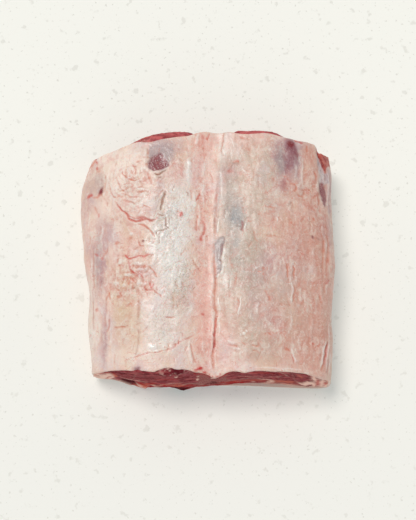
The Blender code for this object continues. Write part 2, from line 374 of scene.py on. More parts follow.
# %% Broad tints of the cover
TINTS = (
    ("cream", 0.4, 0, 62, 5, 12, 0), ("cream", 0.35, -15, 54, 5, 8, 0), ("cream", 0.3, -16, 14, 5, 14, 0),
    ("cream", 0.3, 0, 12, 5, 16, 0), ("salmon", 0.35, 50, -66, 20, 20, 0),
    ("salmon", 0.3, 32, -62, 12, 20, 0), ("salmon", 0.45, 45, -20, 10, 24, 0),
    ("salmon", 0.3, 45, 24, 9, 12, 0), ("salmon", 0.25, 26, 54, 11, 14, 0),
    ("salmon", 0.35, 44, -74, 20, 12, 0), ("salmon", 0.3, 61, -68, 8, 16, 0),
    ("salmon", 0.3, 60, 16, 8, 20, 0), ("salmon", 0.6, 61, 47, 8, 12, 0), ("salmon", 0.3, 0, -74, 8, 10, 0),
    ("membrane_and_sheen", 0.35, 75, -15, 5, 9, 0), ("cream", 0.35, -60, -4, 9, 13, 0),
    ("cream", 0.3, -75, 60, 7, 8, 0), ("rose", 0.35, 90, -18, 4, 32, 0), ("cream", 0.25, -76, -30, 5, 8, 0),
    ("salmon", 0.3, 87, 62, 4, 10, 0), ("mauve", 0.4, 45, -6, 8, 14, 0), ("mauve", 0.25, 60, 48, 7, 9, 0),
    ("salmon", 0.7, 75, 78, 7, 7, 0), ("cream", 0.8, 75, -18, 7, 7, 0), ("salmon", 0.3, 88, 54, 4, 12, 0),
    ("salmon", 0.3, 88, -60, 5, 16, 0), ("rust", 0.13, 0, -73, 8, 11, 0), ("rust", 0.13, 75, 77, 6, 6, 0),
    ("rust", 0.2, 60, 51, 6, 10, 0), ("rust", 0.16, 88, 55, 4, 16, 0), ("rust", 0.1, 45, -19, 6, 8, 0),
    ("rust", 0.08, 45, 25, 6, 9, 0), ("rust", 0.17, 30, 78, 7, 6, 0), ("rust", 0.18, 16, 61, 6, 11, 0),
    ("membrane_and_sheen", 0.2, -15, 54, 4, 7, 0), ("membrane_and_sheen", 0.2, 0, 66, 4, 6, 0),
    ("membrane_and_sheen", 0.2, -15, 12, 4, 12, 0), ("membrane_and_sheen", 0.2, 0, 19, 3, 7, 0),
    # cream where the fat is thick and dry
    ("cream", 1, -62, 66, 16, 16, 0), ("cream", 1, -58, 50, 17, 20, 0), ("cream", 0.7, -74, 34, 8, 14, 0),
    ("cream", 0.7, -80, 78, 12, 6, 0), ("cream", 0.6, -76, 66, 8, 14, 0), ("cream", 0.5, -48, 36, 12, 10, 0),
    ("cream", 0.5, -46, -62, 14, 20, 0), ("cream", 0.6, -64, -76, 18, 8, 0),
    ("cream", 0.35, 91, -20, 6, 44, 0), ("cream", 0.6, 74, -19, 6, 10, 0), ("cream", 0.5, -16, 26, 4, 16, 0),
    ("cream", 0.5, 72, 64, 5, 14, 0), ("cream", 0.5, 12, 76, 5, 12, 0), ("cream", 0.4, 80, -74, 8, 10, 0),
    # rosy strip along the backbone and rosy patches
    ("rose", 0.75, -5, 80, 12, 16, 0), ("rose", 0.52, -3, 50, 10, 28, 0), ("rose", 0.5, -2, 10, 6, 36, 0),
    ("rose", 0.85, -2, -28, 9, 30, 0), ("rose", 0.9, -2, -62, 10, 26, 0), ("rose", 0.55, 17, -62, 14, 16, 0),
    ("rose", 0.5, 32, 82, 20, 9, 0), ("rose", 0.4, 16, -84, 24, 8, 0), ("rose", 0.45, -24, 60, 9, 16, 0),
    ("rose", 0.3, -62, 36, 10, 10, 20), ("rose", 0.4, -50, 25, 14, 7, 0), ("rose", 0.45, -43, -24, 9, 9, 0),
    ("rose", 0.25, -55, 6, 12, 12, 0), ("rose", 0.4, -92, 0, 6, 40, 0), ("rose", 0.35, 30, -75, 14, 8, 0),
    ("rose", 0.5, 24, 60, 9, 8, 0),
    # salmon flank and lower right
    ("salmon", 0.75, 82, -10, 20, 62, 0), ("salmon", 0.8, 78, -68, 20, 34, 0),
    ("salmon", 0.5, 56, -50, 20, 40, 0), ("salmon", 0.5, 56, 12, 16, 26, 0),
    ("salmon", 0.55, 76, 60, 9, 34, 0), ("salmon", 0.4, 38, -45, 16, 24, 0),
    ("salmon", 0.35, 34, -12, 9, 30, 0), ("salmon", 0.4, 66, -12, 16, 20, 0),
    # greenish grey-beige, mostly right of the backbone
    ("pearl", 0.8, 17, 36, 9, 40, 0), ("pearl", 0.7, 14, -20, 7, 34, 0), ("pearl", 0.5, 34, 50, 14, 30, 0),
    ("bruise", 0.28, 15, 62, 9, 16, 0), ("bruise", 0.45, 17, 34, 9, 20, 0), ("bruise", 0.25, 18, 4, 9, 20, 0),
    ("bruise", 0.15, 30, -20, 14, 24, 0), ("pearl", 0.9, 27, 10, 17, 32, 0),
    ("pearl", 0.9, 31, -16, 16, 26, 0), ("pearl", 0.7, 46, 70, 8, 18, 0), ("pearl", 0.65, 19, 60, 10, 12, 0),
    ("pearl", 0.45, 45, 40, 14, 24, 0), ("pearl", 0.5, 44, -22, 16, 20, 0),
    ("pearl", 0.35, 60, -40, 16, 30, 0), ("pearl", 0.75, 31, -56, 16, 24, 0),
    ("pearl", 0.5, 30, 76, 12, 12, 0), ("pearl", 0.6, 38, -74, 16, 12, 0), ("pearl", 0.4, -20, -12, 8, 12, 0),
    ("pearl", 0.4, -82, 58, 8, 14, 0), ("pearl", 0.6, -20, -28, 7, 20, 0), ("pearl", 0.45, 60, 58, 12, 8, 0),
    # straw-coloured fat on the left
    ("straw", 0.8, -61, -45, 8, 22, 0), ("straw", 0.6, -52, -56, 7, 18, 0),
    ("straw", 0.4, -62, -18, 10, 10, 0), ("straw", 0.55, -55, -28, 11, 8, 0),
    ("straw", 0.4, -20, -14, 8, 8, 0), ("straw", 0.35, -22, -30, 6, 14, 0),
    ("straw", 0.35, -42, -10, 8, 8, 0), ("straw", 0.3, -62, -72, 8, 12, 0), ("straw", 0.3, 10, -10, 5, 16, 0),
    # white membrane over the left loin, thinner towards its rim; its white is partly its own colour, partly
    # painted sheen
    ("membrane_and_sheen", 1, -27, 20, 14, 28, -6), ("membrane_and_sheen", 1, -28, -4, 14, 26, 8),
    ("membrane_and_sheen", 0.7, -18, 34, 9, 16, 0), ("membrane_and_sheen", 0.6, -40, 4, 6, 10, 0),
    ("membrane_and_sheen", 0.45, -34, -28, 7, 14, 0), ("membrane_and_sheen", 0.4, -30, -60, 17, 24, 0),
    ("membrane_and_sheen", 0.35, -50, 36, 10, 6, 0), ("membrane_and_sheen", 0.4, 12, 83, 5, 10, 0),
    ("membrane_and_sheen", 0.35, 13, -20, 3, 10, 0), ("membrane_and_sheen", 0.5, -39, -72, 5, 3, 0),
    ("membrane_and_sheen", 0.35, -40, -45, 8, 14, 0), ("membrane_and_sheen", 0.4, -14, 56, 3, 14, 0),
    ("membrane_and_sheen", 0.35, -86, -50, 5, 36, 0),
    # mauve where lean lies close under the fat
    ("mauve", 0.75, -79, -6, 6, 26, 0), ("mauve", 0.55, -76, 18, 8, 14, 0),
    ("mauve", 0.55, -76, -66, 3.5, 20, 0), ("bruise", 0.25, -81, -4, 3, 20, 0),
    ("mauve", 0.45, -87, 4, 5, 8, 0), ("mauve", 0.45, -90, 45, 6, 18, 0), ("mauve", 0.6, -34, 78, 12, 6, -10),
    ("mauve", 0.35, -22, 78, 8, 8, 0), ("mauve", 1, 61, 73, 9, 18, 0), ("mauve", 0.55, 56, 52, 8, 9, 0),
    ("mauve", 0.4, 53, 62, 5, 18, 0), ("mauve", 0.35, 16, 60, 8, 6, 0), ("mauve", 0.35, 42, -18, 14, 10, 0),
    ("mauve", 0.3, 40, -42, 10, 14, 0), ("mauve", 0.3, 88, 18, 5, 14, 0), ("mauve", 0.3, 48, -54, 8, 10, 0),
    ("mauve", 0.45, 68, 60, 3, 24, 0), ("mauve", 0.25, 60, -8, 12, 14, 0),
    # grey bruises
    ("bruise", 0.95, 20, 25, 4.4, 7, 0), ("bruise", 0.6, 22, 23, 7, 11, 0),
    ("bruise", 0.5, 24, 17, 2.4, 4, 0), ("bruise", 0.45, 21, 5, 3.4, 6, 0),
    ("bruise", 0.12, -81, 57, 4, 8, 0), ("bruise", 0.4, -31, 74, 6, 6, 0), ("bruise", 0.3, 54, 66, 5, 12, 0),
    ("bruise", 0.3, -30, 25, 6, 4, 0), ("bruise", 0.3, 66, 72, 4, 14, 0),
    # dark lean behind the thinnest spots
    ("plum", 0.95, 62, 81, 4, 6, 0), ("plum", 0.6, 62, 71, 5, 11, 0), ("bruise", 0.4, 55, 70, 5, 12, 0),
    ("plum", 0.35, 66.5, 74, 1.6, 5, 8), ("plum", 0.3, 58.5, 63, 2.5, 6, 0),
    ("plum", 0.25, 56, 49, 4.5, 4, 0), ("plum", 0.3, -52, -87, 4, 1.6, 0),
    ("plum", 0.3, -77.5, -19, 1.6, 4, 0),
)
print(len(TINTS), "tints in", len({tint[0] for tint in TINTS}), "layers")

# %% [markdown]
# ## Folds, veins and creases
# Each line is a layer of colour, its strength, its half width, the height of its relief (below zero for
# a groove) and the places it runs through. Blood is vivid, rust is the thin orange-brown of a healed fold,
# umber is a shadowed crack, and ridge is white along a stretched fold: partly the fold's own white, partly a
# painted highlight where it catches the light.

# %% Lines on the left half
LEFT_LINES = (
    # the long red fold below the swollen fat of the far left
    ("blood", 0.62, 0.9, -0.7, ((-67.5, 38), (-65, 34), (-63, 31.5), (-60.5, 28.7), (-58, 26), (-56.5, 23.2),
        (-54, 21.5), (-50, 20.6), (-45, 21.2), (-42.5, 20.6), (-40, 20.4), (-36.5, 23.2))),
    ("blood", 0.55, 0.7, -0.35, ((-58, 27.5), (-55, 24.8), (-52, 23), (-48, 22.4), (-43, 21.6))),
    ("dark_blood", 0.35, 0.5, 0, ((-46.5, 21.4), (-43, 21), (-40, 20.3), (-37.5, 22.2))),
    ("rust", 0.6, 0.7, -0.3, ((-46.5, 32), (-43.5, 31), (-41, 29))),
    ("rust", 0.5, 0.8, -0.3, ((-62, 38.5), (-58, 36.5), (-55, 35.4), (-52, 33.5))),
    ("rust", 0.4, 0.7, -0.3, ((-66, 41), (-62, 43.5), (-57, 40.5), (-52, 39.5), (-46, 38.5))),
    # rings of the swirl
    ("rust", 0.75, 0.6, -0.4, ((-62, 62), (-61.6, 59), (-60.3, 57), (-58, 54.2), (-55, 53.2), (-52, 52.2),
        (-49.5, 54))),
    ("rust", 0.5, 0.7, -0.35, ((-67.5, 58), (-66, 54), (-65, 50), (-63.3, 47), (-60, 44.6))),
    ("rust", 0.5, 0.7, -0.35, ((-73, 52), (-72, 46), (-70, 42.5), (-66.5, 40.5))),
    ("rust", 0.55, 0.8, -0.5, ((-52, 44.6), (-49.2, 43.2), (-46, 43.5), (-43.5, 42.4))),
    ("ridge", 0.8, 0.6, 0.4, ((-51, 46), (-48, 45.3), (-45.3, 45.4))),
    ("rust", 0.55, 0.8, -0.35, ((-44.2, 58), (-42.5, 54), (-41.3, 50.5), (-43, 48.5))),
    ("rust", 0.4, 0.7, -0.3, ((-56, 66), (-53, 62), (-52.5, 58), (-54, 56))),
    ("ridge", 0.5, 0.8, 0.35, ((-58, 64), (-57, 59), (-54.5, 56.5))),
    ("ridge", 0.5, 0.9, 0.35, ((-68, 50), (-66.4, 45.5), (-63, 42.6))),
    # cracks between the swollen fat and the membrane
    ("umber", 0.9, 0.75, -0.9, ((-30.3, 44), (-31.5, 41), (-32.5, 37.5), (-33.5, 34), (-34.6, 30),
        (-35.2, 28.3))),
    ("umber", 0.9, 0.9, -0.7, ((-39, 57.4), (-36.6, 56.2), (-34.6, 57.6), (-32.6, 59.8), (-30.4, 61.4))),
    ("umber", 0.6, 0.6, -0.4, ((-37.6, 54.6), (-35.4, 54.2), (-34, 55.6))),
    ("ridge", 0.9, 0.6, 0.4, ((-35, 58.8), (-32.4, 60.8), (-29.4, 62.2))),
    ("umber", 0.55, 0.5, -0.4, ((-37, 26.3), (-34, 24.8), (-31.5, 25.2))),
    ("umber", 0.55, 0.55, -0.4, ((-33, 26), (-31.2, 23.5), (-30.4, 20), (-30.5, 17), (-29, 15.5),
        (-27.6, 14.6))),
    ("umber", 0.6, 0.6, -0.4, ((-37.6, 9.2), (-36.6, 12), (-34.5, 13), (-31, 13.6), (-28.8, 15.6))),
    ("umber", 0.45, 0.55, -0.3, ((-24.2, 47), (-24.7, 45), (-25.6, 42.8))),
    ("umber", 0.45, 0.45, -0.3, ((-28, 25), (-28.6, 20), (-27.8, 17.6))),
    ("umber", 0.4, 0.5, -0.3, ((-35.5, 8), (-35, 5), (-35.2, 2))),
    ("umber", 0.5, 0.7, -0.3, ((-14.6, 44), (-13.6, 42), (-14, 40))),
    ("rust", 0.85, 0.8, -0.5, ((-51, 18), (-47, 16.6), (-44, 14.9), (-42, 12.8), (-40.3, 10.5),
        (-38.6, 7.4))),
    ("rust", 0.6, 0.6, -0.4, ((-50.8, 6), (-50.4, 3), (-48.5, 1.8), (-45.6, 2.2))),
    ("rust", 0.5, 0.5, -0.3, ((-54, -0.5), (-51.3, 0.7), (-50, 3))),
    # the branching vein
    ("blood", 0.8, 0.65, 0.25, ((-60.3, -3.6), (-58.5, -5.8), (-56, -6.7), (-53, -6.3), (-50, -5.5),
        (-46.5, -5.4), (-43, -4.7), (-40, -4.2))),
    ("blood", 0.7, 0.7, 0.25, ((-58.3, -6.5), (-57, -10), (-56, -12.5), (-55.6, -15), (-54, -16.6),
        (-52.3, -17.5))),
    ("blood", 0.6, 0.7, 0.2, ((-53.5, -18.6), (-51, -19.6), (-49.5, -18.4), (-48, -20), (-47, -22),
        (-46.4, -25))),
    ("blood", 0.5, 0.6, 0.2, ((-50.5, -17.6), (-48.2, -16.8), (-46.6, -15.4), (-47, -13.6))),
    ("rust", 0.6, 1.2, -0.35, ((-55.5, -12), (-52, -13), (-49, -13.3), (-46, -13), (-43.6, -12.6))),
    ("rust", 0.7, 0.8, -0.4, ((-44, -12.6), (-42, -14.4), (-40, -16.5), (-38.7, -19), (-36.8, -21.8))),
    ("blood", 0.65, 0.8, 0.3, ((-42.4, -24), (-41.9, -27.3), (-40.7, -28.4), (-38.9, -25.2))),
    ("blood", 0.5, 0.6, -0.3, ((-45.4, -26.5), (-45.3, -29.5), (-43.5, -30.7), (-41, -30.4), (-38.8, -30.5))),
    ("rust", 0.7, 0.7, -0.35, ((-39, -30.5), (-37.6, -32), (-36, -33.3), (-34.5, -33.8), (-33, -36))),
    ("rust", 0.5, 0.6, -0.3, ((-58, -20), (-55, -21.5), (-53, -24), (-54.5, -27.6), (-51, -30))),
    ("rust", 0.5, 0.7, -0.3, ((-67, -27), (-64.5, -28.6), (-62, -33))),
    ("umber", 0.35, 0.7, -0.3, ((-56, -28), (-54, -29.2), (-51.6, -27.6))),
    # lower left: pressed creases and the long faint red scratch
    ("rust", 0.6, 0.5, -0.35, ((-68, -55.3), (-65, -55.6), (-61.6, -55.9), (-57, -55))),
    ("umber", 0.16, 1.2, -0.3, ((-51, -57), (-50.8, -62), (-51.3, -70), (-52.4, -79))),
    ("umber", 0.14, 1.8, -0.3, ((-50, -36), (-50, -46), (-51, -56))),
    ("blood", 0.38, 0.6, -0.2, ((-61, -80.3), (-50, -78.5), (-44, -76.8), (-40, -75.8), (-35, -75),
        (-32, -73.5))),
    ("blood", 0.42, 0.7, -0.2, ((-33, -74), (-27, -72.5), (-22, -70), (-19, -67.8), (-15, -65.5),
        (-9.5, -62.8))),
    ("rust", 0.45, 0.6, -0.4, ((-32, -50.3), (-27, -50.8), (-22.5, -50.4))),
    ("straw", 0.5, 1.2, -0.15, ((-20.5, -12), (-23, -24), (-24.2, -35), (-24.6, -41), (-25, -47))),
    ("ridge", 0.5, 0.7, 0.3, ((-12.2, -65), (-13.2, -70), (-13, -76), (-12, -81), (-10.6, -84))),
    ("rust", 0.4, 0.7, -0.3, ((-12, -68), (-11.8, -73), (-10.6, -79), (-8.4, -83))),
    # left flank
    ("blood", 0.5, 1, 0, ((-81, 32), (-81.2, 28))),
    ("blood", 0.45, 1, 0, ((-83, 1.5), (-81, -0.2), (-79.6, -1.4))),
    ("rose", 0.6, 1.2, 0.2, ((-90, -2), (-88, -10), (-86, -17), (-84.8, -24))),
    ("membrane_and_sheen", 0.6, 1, 0.3, ((-83, -44), (-80, -56), (-82, -66))),
    ("mauve", 0.3, 1.4, -0.15, ((-75, -26), (-75.5, -45), (-74.5, -58), (-76.5, -84))),
    ("mauve", 0.4, 0.8, -0.3, ((-84, 10), (-84.5, -8), (-84.8, -30), (-85, -60))),
    ("rose", 0.35, 1.3, 0.25, ((-74, -30), (-73.6, -42), (-74.4, -54))),
    ("blood", 0.6, 1.2, 0, ((-90.5, 46.6), (-88, 47.6), (-85.6, 47.4))),
    ("rust", 0.6, 1.3, 0, ((-86, 45.8), (-83, 45.6), (-79, 46.4))),
    ("rust", 0.9, 1.6, 0, ((-89.6, 70.6), (-87, 72.6), (-84, 75.5))),
    ("rust", 0.6, 1, 0, ((-83.2, 67.5), (-81.8, 65.8), (-80.6, 67.6))),
    # backbone strip: fibres and blood
    ("blood", 0.55, 1, -0.2, ((-8.9, 37.2), (-7.5, 39.2), (-6, 41), (-4.8, 42.8))),
    ("blood", 0.5, 0.9, -0.2, ((-5.4, 6.6), (-4.2, 9.6), (-3.1, 13), (-2.1, 17.5), (-3, 22))),
    ("blood", 0.6, 0.6, -0.3, ((-0.6, 83.5), (0.4, 87), (1.6, 90.3))),
    ("blood", 0.35, 1.4, 0, ((-4, 90), (-3, 84), (-4.6, 80))),
    ("rose", 0.7, 1.6, -0.2, ((-4.6, 33), (-3.4, 24), (-3.2, 16))),
    ("rust", 0.5, 0.9, -0.2, ((-7, 26), (-7.6, 20), (-7.4, 12))),
    ("blood", 0.3, 1.2, 0, ((-17.6, 65.5), (-18.4, 62), (-18.6, 54))),
    ("ridge", 0.7, 1, 0.35, ((-13.6, 69), (-13.8, 61), (-14.2, 52))),
    ("ridge", 0.6, 0.8, 0.35, ((-2.4, 67), (-3, 61), (-4.4, 55))),
    ("ridge", 0.7, 0.8, 0.35, ((-2.2, 51), (-3.4, 43), (-3, 35))),
    ("ridge", 0.65, 0.7, 0.4, ((-9.6, 46), (-9.9, 37), (-9.6, 27))),
    ("ridge", 0.6, 0.7, 0.35, ((-6.6, 35.6), (-5.6, 28), (-5.6, 17))),
    ("ridge", 0.8, 0.5, 0.35, ((0.8, 14.4), (1, 10.6))),
    ("ridge", 0.6, 0.9, 0.4, ((-9.2, 81), (-7.6, 85), (-6.4, 90))),
    ("ridge", 0.5, 0.6, 0.3, ((-16, 36), (-16.6, 28), (-15.8, 20))),
)

# %% Lines at the backbone and on the right half
RIGHT_LINES = (
    # the crease over the backbone
    ("rust", 0.18, 0.9, -0.08, ((8.3, 95), (7.9, 86), (7.6, 78), (6.9, 70), (7.1, 60))),
    ("mauve", 0.35, 0.9, -0.12, ((7.1, 62), (7.6, 52), (6.8, 45), (6.2, 38), (5.7, 30), (5.5, 20),
        (5.4, 10))),
    ("rust", 0.32, 1.4, -0.3, ((4.6, 4), (4.2, -2), (4.6, -10), (5.6, -17), (5.4, -25), (4.8, -33),
        (5.2, -42), (6.5, -51), (5.9, -57))),
    ("blood", 0.85, 0.7, -1, ((7.6, -48.5), (6.7, -52), (5.9, -57), (5.2, -62), (4.7, -68), (4, -75.5))),
    ("dark_blood", 0.55, 0.45, 0, ((5.6, -59), (5, -65), (4.4, -71), (4, -74))),
    ("rust", 0.3, 1, -0.6, ((4.2, -74), (3.6, -80), (4.6, -88))),
    ("ridge", 0.9, 0.6, 0.4, ((8.2, -36), (8.6, -41), (8.3, -46))),
    ("ridge", 0.6, 0.7, 0.3, ((8.6, -49), (9.4, -56), (8.8, -62))),
    ("blood", 0.5, 0.9, -0.2, ((6.6, 43), (5.8, 39), (5.4, 36))),
    ("dark_blood", 0.35, 0.7, -0.2, ((5.6, 25), (5.5, 20), (6.4, 17))),
    ("veil", 0.5, 1, 0, ((8.6, 58), (8.4, 46), (7.6, 34), (7, 22), (6.6, 12))),
    ("membrane_and_sheen", 0.6, 0.9, 0.12, ((10.5, 68), (9.6, 56), (9.9, 44), (9, 34), (8.4, 24), (7.6, 12))),
    ("ridge", 0.9, 0.6, 0.5, ((8.8, 22), (8.2, 17), (7.4, 11.4))),
    ("bruise", 0.5, 0.7, -0.3, ((12, 31), (11.2, 27), (12.4, 22))),
    ("ridge", 0.5, 0.6, 0.3, ((13.6, 29), (12.6, 24), (11.6, 21))),
    # white border of the slit
    ("ridge", 1, 1.2, 0.5, ((11.2, 1.2), (12.2, -1.4), (11.5, -4.7), (11.1, -7.3), (10.9, -9.9))),
    ("ridge", 1, 0.8, 0.6, ((11, -9.4), (11, -13.1), (10.6, -16.3), (10, -18.6))),
    ("ridge", 0.9, 1.2, 0.4, ((8.8, -18.8), (7.6, -19.2), (6.2, -20.8))),
    ("plum", 0.7, 0.8, -0.4, ((10.6, 9.2), (11.8, 7.2), (11.4, 4.8), (10.4, 3), (10.5, 1.2), (10.4, -0.6),
        (9.7, -2.6), (9.4, -4.8), (8.8, -6.4))),
    ("dark_blood", 0.75, 0.75, -0.5, ((11.2, 4.4), (10.4, 2.8), (10.4, 0.6), (10.2, -1.2), (9.7, -3),
        (9.4, -4.6))),
    ("plum", 0.6, 0.7, -0.2, ((8.7, 0.6), (7.6, -0.6), (6.8, -1.6))),
    ("plum", 0.5, 0.9, -0.2, ((7.4, -17), (6.4, -18.6), (5.2, -21.6))),
    ("ridge", 0.5, 0.6, 0.2, ((8.6, -10.4), (7.8, -12))),
    ("ridge", 0.4, 0.8, 0.1, ((8.8, 7.2), (9.4, 4.6), (8.4, 3))),
    # upper right
    ("ridge", 0.6, 0.8, 0.35, ((11.4, 78), (12.4, 75), (12.9, 72))),
    ("ridge", 0.5, 0.9, 0.35, ((17.4, 86), (18.6, 82), (20, 78))),
    ("rust", 0.5, 1, -0.3, ((24, 87), (27.5, 85), (31, 84.6))),
    ("rust", 0.5, 1.1, -0.2, ((18, 66.4), (21, 67.6), (23.4, 66.6))),
    ("blood", 0.35, 1, 0, ((21.4, 68.8), (22.6, 67))),
    ("ridge", 0.8, 0.5, 0.3, ((23.2, 69.4), (23.8, 68.4))),
    ("ridge", 0.8, 0.8, 0.35, ((25.8, 62), (26.8, 60), (27.8, 58.6))),
    ("blood", 0.6, 0.8, -0.2, ((65, 85.6), (67.5, 84.4), (70.5, 83.6))),
    ("rust", 0.6, 0.6, -0.3, ((74.6, 83), (74.5, 80), (74.1, 77))),
    ("dark_blood", 0.4, 0.9, -0.2, ((66, 77), (66.6, 73), (67.2, 70))),
    ("ridge", 0.45, 1, 0.35, ((71.4, 68), (70.8, 60), (70.4, 52))),
    ("ridge", 0.4, 0.9, 0.3, ((66.4, 66), (66, 60), (65.4, 54))),
    # orange rings at the far right
    ("rust", 0.7, 0.9, -0.35, ((61, 50.4), (63.6, 51), (65.4, 48.8), (65, 45.4), (62.6, 44.6))),
    ("rust", 0.55, 0.9, -0.35, ((66, 43.6), (68, 41.6), (70.4, 43), (71.4, 47))),
    ("rust", 0.6, 0.9, -0.3, ((80, 63), (81.2, 60), (81.7, 55.5), (80.9, 52))),
    ("rust", 0.65, 0.8, -0.3, ((84.4, 48), (82.6, 45.6), (80.2, 43), (78, 40.6))),
    ("rust", 0.6, 0.7, -0.35, ((82.4, 45), (83.2, 41), (82.8, 38), (81.2, 35.2), (79.6, 36.6))),
    ("rust", 0.5, 0.7, -0.3, ((73, 50), (77, 46), (77.6, 41), (76, 37))),
    ("umber", 0.35, 1, -0.3, ((62.6, 36.4), (60.6, 34.6), (59.6, 32.6))),
    # middle right
    ("rust", 0.4, 0.6, -0.25, ((43, 31.6), (47, 31.4), (51, 31.6))),
    ("blood", 0.4, 0.7, 0, ((42.4, 33), (42.6, 31.2))),
    ("ridge", 0.5, 0.6, 0.3, ((53, 30), (52.8, 27), (52, 24.6))),
    ("ridge", 1, 0.55, 0.5, ((51.9, 24.8), (51.4, 22.6), (51.1, 20.4))),
    ("plum", 0.6, 0.8, -0.3, ((24.6, 21), (25.6, 17), (25.2, 14.6), (24.2, 12.6))),
    ("ridge", 0.8, 0.6, 0.4, ((28.2, 19.4), (27.6, 17), (26.7, 14.6))),
    ("ridge", 0.7, 0.6, 0.4, ((17.2, 13.4), (17.5, 11.6), (17.3, 9.6))),
    ("rust", 0.4, 0.8, -0.25, ((42, 9.8), (46, 10), (50.6, 9.2))),
    ("dark_blood", 0.4, 0.9, 0, ((80.4, 12), (82.2, 10.6), (84.6, 9.4))),
    ("ridge", 0.8, 0.6, 0.4, ((35.2, -15.6), (36.2, -14), (38, -12.6))),
    ("rust", 0.6, 0.6, -0.35, ((36.6, -17.6), (39, -17), (41, -15.6), (40.4, -13))),
    ("rust", 0.6, 0.7, -0.45, ((57.4, -10), (58, -13), (58.6, -17), (59.4, -23))),
    ("rust", 0.6, 0.7, -0.45, ((62.4, -11), (63.8, -14.6), (63.2, -18), (63.6, -22))),
    ("ridge", 0.65, 0.8, 0.45, ((60.6, -20), (61.2, -26), (62.4, -31), (62, -36), (61.6, -39))),
    ("ridge", 0.35, 0.8, 0.3, ((60.4, -44), (60.8, -50), (60, -57), (59, -62))),
    ("rust", 0.35, 0.7, -0.3, ((63, -26), (64, -34), (63.6, -42))),
    ("ridge", 0.85, 0.7, 0.5, ((24.2, -35), (23.8, -40), (23.1, -45), (21.8, -50.6))),
    ("rust", 0.4, 0.7, -0.35, ((22.6, -36), (22.2, -42), (21, -47))),
    ("ridge", 0.5, 0.7, 0.35, ((16.6, -20), (16.6, -24), (15.6, -29))),
    ("ridge", 0.5, 0.6, 0.3, ((25.4, -25), (24.2, -28), (24, -31))),
    ("rust", 0.4, 0.6, -0.25, ((18, -11), (18.6, -14), (17.6, -16))),
    ("ridge", 0.5, 0.8, 0.3, ((37, -40), (36, -44), (35.6, -48))),
    ("ridge", 0.4, 0.8, 0.3, ((44, -52), (42.6, -55), (41.6, -59))),
    # the flap of flank at the far right
    ("dark_blood", 0.8, 0.9, -0.4, ((82.9, 79.5), (83.8, 77), (85, 74.6), (86.2, 71.4), (87.2, 68))),
    ("clot", 0.45, 1, 0.2, ((85.4, 79), (87.6, 77.4), (89.8, 75), (90.4, 72.4))),
    ("rust", 0.7, 1, 0.1, ((84.6, 80), (88, 78.2), (90.6, 76))),
    ("dark_blood", 0.6, 0.6, -0.2, ((87.7, 64), (88.2, 61.4), (88.8, 58.6))),
    ("dark_blood", 0.5, 0.5, -0.2, ((89.6, 64.6), (90.7, 62))),
    ("ridge", 0.8, 0.6, 0.3, ((85.8, 63), (86.4, 59.4), (87.4, 55.8))),
    ("ridge", 0.7, 0.5, 0.3, ((84, 70), (84.6, 64), (84.6, 58))),
    ("ridge", 0.5, 0.7, 0.3, ((90.2, 68), (91, 58), (90.8, 46), (90, 36))),
    ("plum", 0.5, 0.6, 0, ((83.4, 73), (84.2, 68), (85.2, 61))),
    ("silver", 0.5, 0.6, 0.2, ((86.2, 54), (86.8, 50), (86.6, 46))),
    ("dark_blood", 0.35, 0.8, 0, ((87.4, 46), (87.4, 42), (87.4, 39))),
    # lower right
    ("rust", 0.65, 0.6, -0.35, ((40.6, -63.2), (43.6, -62.4), (46.6, -63.4))),
    ("rust", 0.5, 0.7, -0.35, ((31.4, -70), (35, -71.4), (38, -70.6))),
    ("rust", 0.5, 0.7, -0.35, ((32, -74.6), (35, -74.6), (38, -76))),
    ("rust", 0.55, 0.9, -0.35, ((55.6, -72.6), (58.4, -73), (60.4, -74.6))),
    ("ridge", 0.7, 0.8, 0.4, ((60.6, -71), (61.8, -75.6), (63, -79.6), (63.6, -83))),
    ("blood", 0.4, 0.6, -0.3, ((61, -76), (62, -80), (62.6, -83))),
    ("ridge", 0.6, 0.7, 0.3, ((18, -72.6), (21, -72.8), (24, -73.2))),
    ("ridge", 0.4, 0.7, 0.25, ((14, -67), (18, -68.4), (22, -68))),
    ("rust", 0.35, 0.7, -0.2, ((13, -69.8), (18, -70.4), (23, -71.4))),
    ("rust", 0.5, 0.6, -0.3, ((24.6, -68.4), (27.6, -69.4))),
    ("ridge", 0.6, 0.6, 0.2, ((34, -87.2), (42, -87), (52, -87), (62, -86.9), (70, -87.4))),
    # right flank: streaks down to the near corner
    ("rust", 0.6, 0.8, -0.35, ((82.2, -31), (83, -35), (84.4, -37.4))),
    ("blood", 0.55, 0.9, -0.3, ((90.2, -18), (88.8, -19.8), (87.8, -22))),
    ("blood", 0.35, 1.1, -0.35, ((88.6, -65), (87.4, -71), (86.4, -77), (84.6, -82))),
    ("mauve", 0.7, 1, -0.4, ((88.8, -64), (87.6, -71), (86.6, -77.6), (85, -83))),
    ("mauve", 0.6, 0.8, -0.35, ((89.4, -77), (88.4, -82), (87.8, -87))),
    ("rust", 0.55, 0.7, -0.3, ((84.6, -80.6), (83.8, -84), (83.2, -87))),
    ("ridge", 0.6, 0.9, 0.4, ((86.4, -66), (85.2, -72), (84, -78), (82.4, -84))),
    ("ridge", 0.55, 0.8, 0.4, ((90.6, -50), (89.8, -60), (89.2, -70), (87.8, -78))),
    ("ridge", 0.5, 0.9, 0.35, ((90.6, -72), (90, -80), (89, -88))),
    ("rose", 0.6, 1.4, 0.3, ((93.6, 8), (94.8, -8), (93.4, -22), (91.6, -36))),
    ("rust", 0.35, 1.2, -0.3, ((88, 30), (89.6, 10), (89.2, -8), (87, -24))),
    ("rust", 0.35, 1, -0.3, ((84, 20), (85.8, 2), (85, -14))),
    ("mauve", 0.35, 1.6, -0.2, ((90.4, 30), (91.4, 14), (90.6, 0))),
)

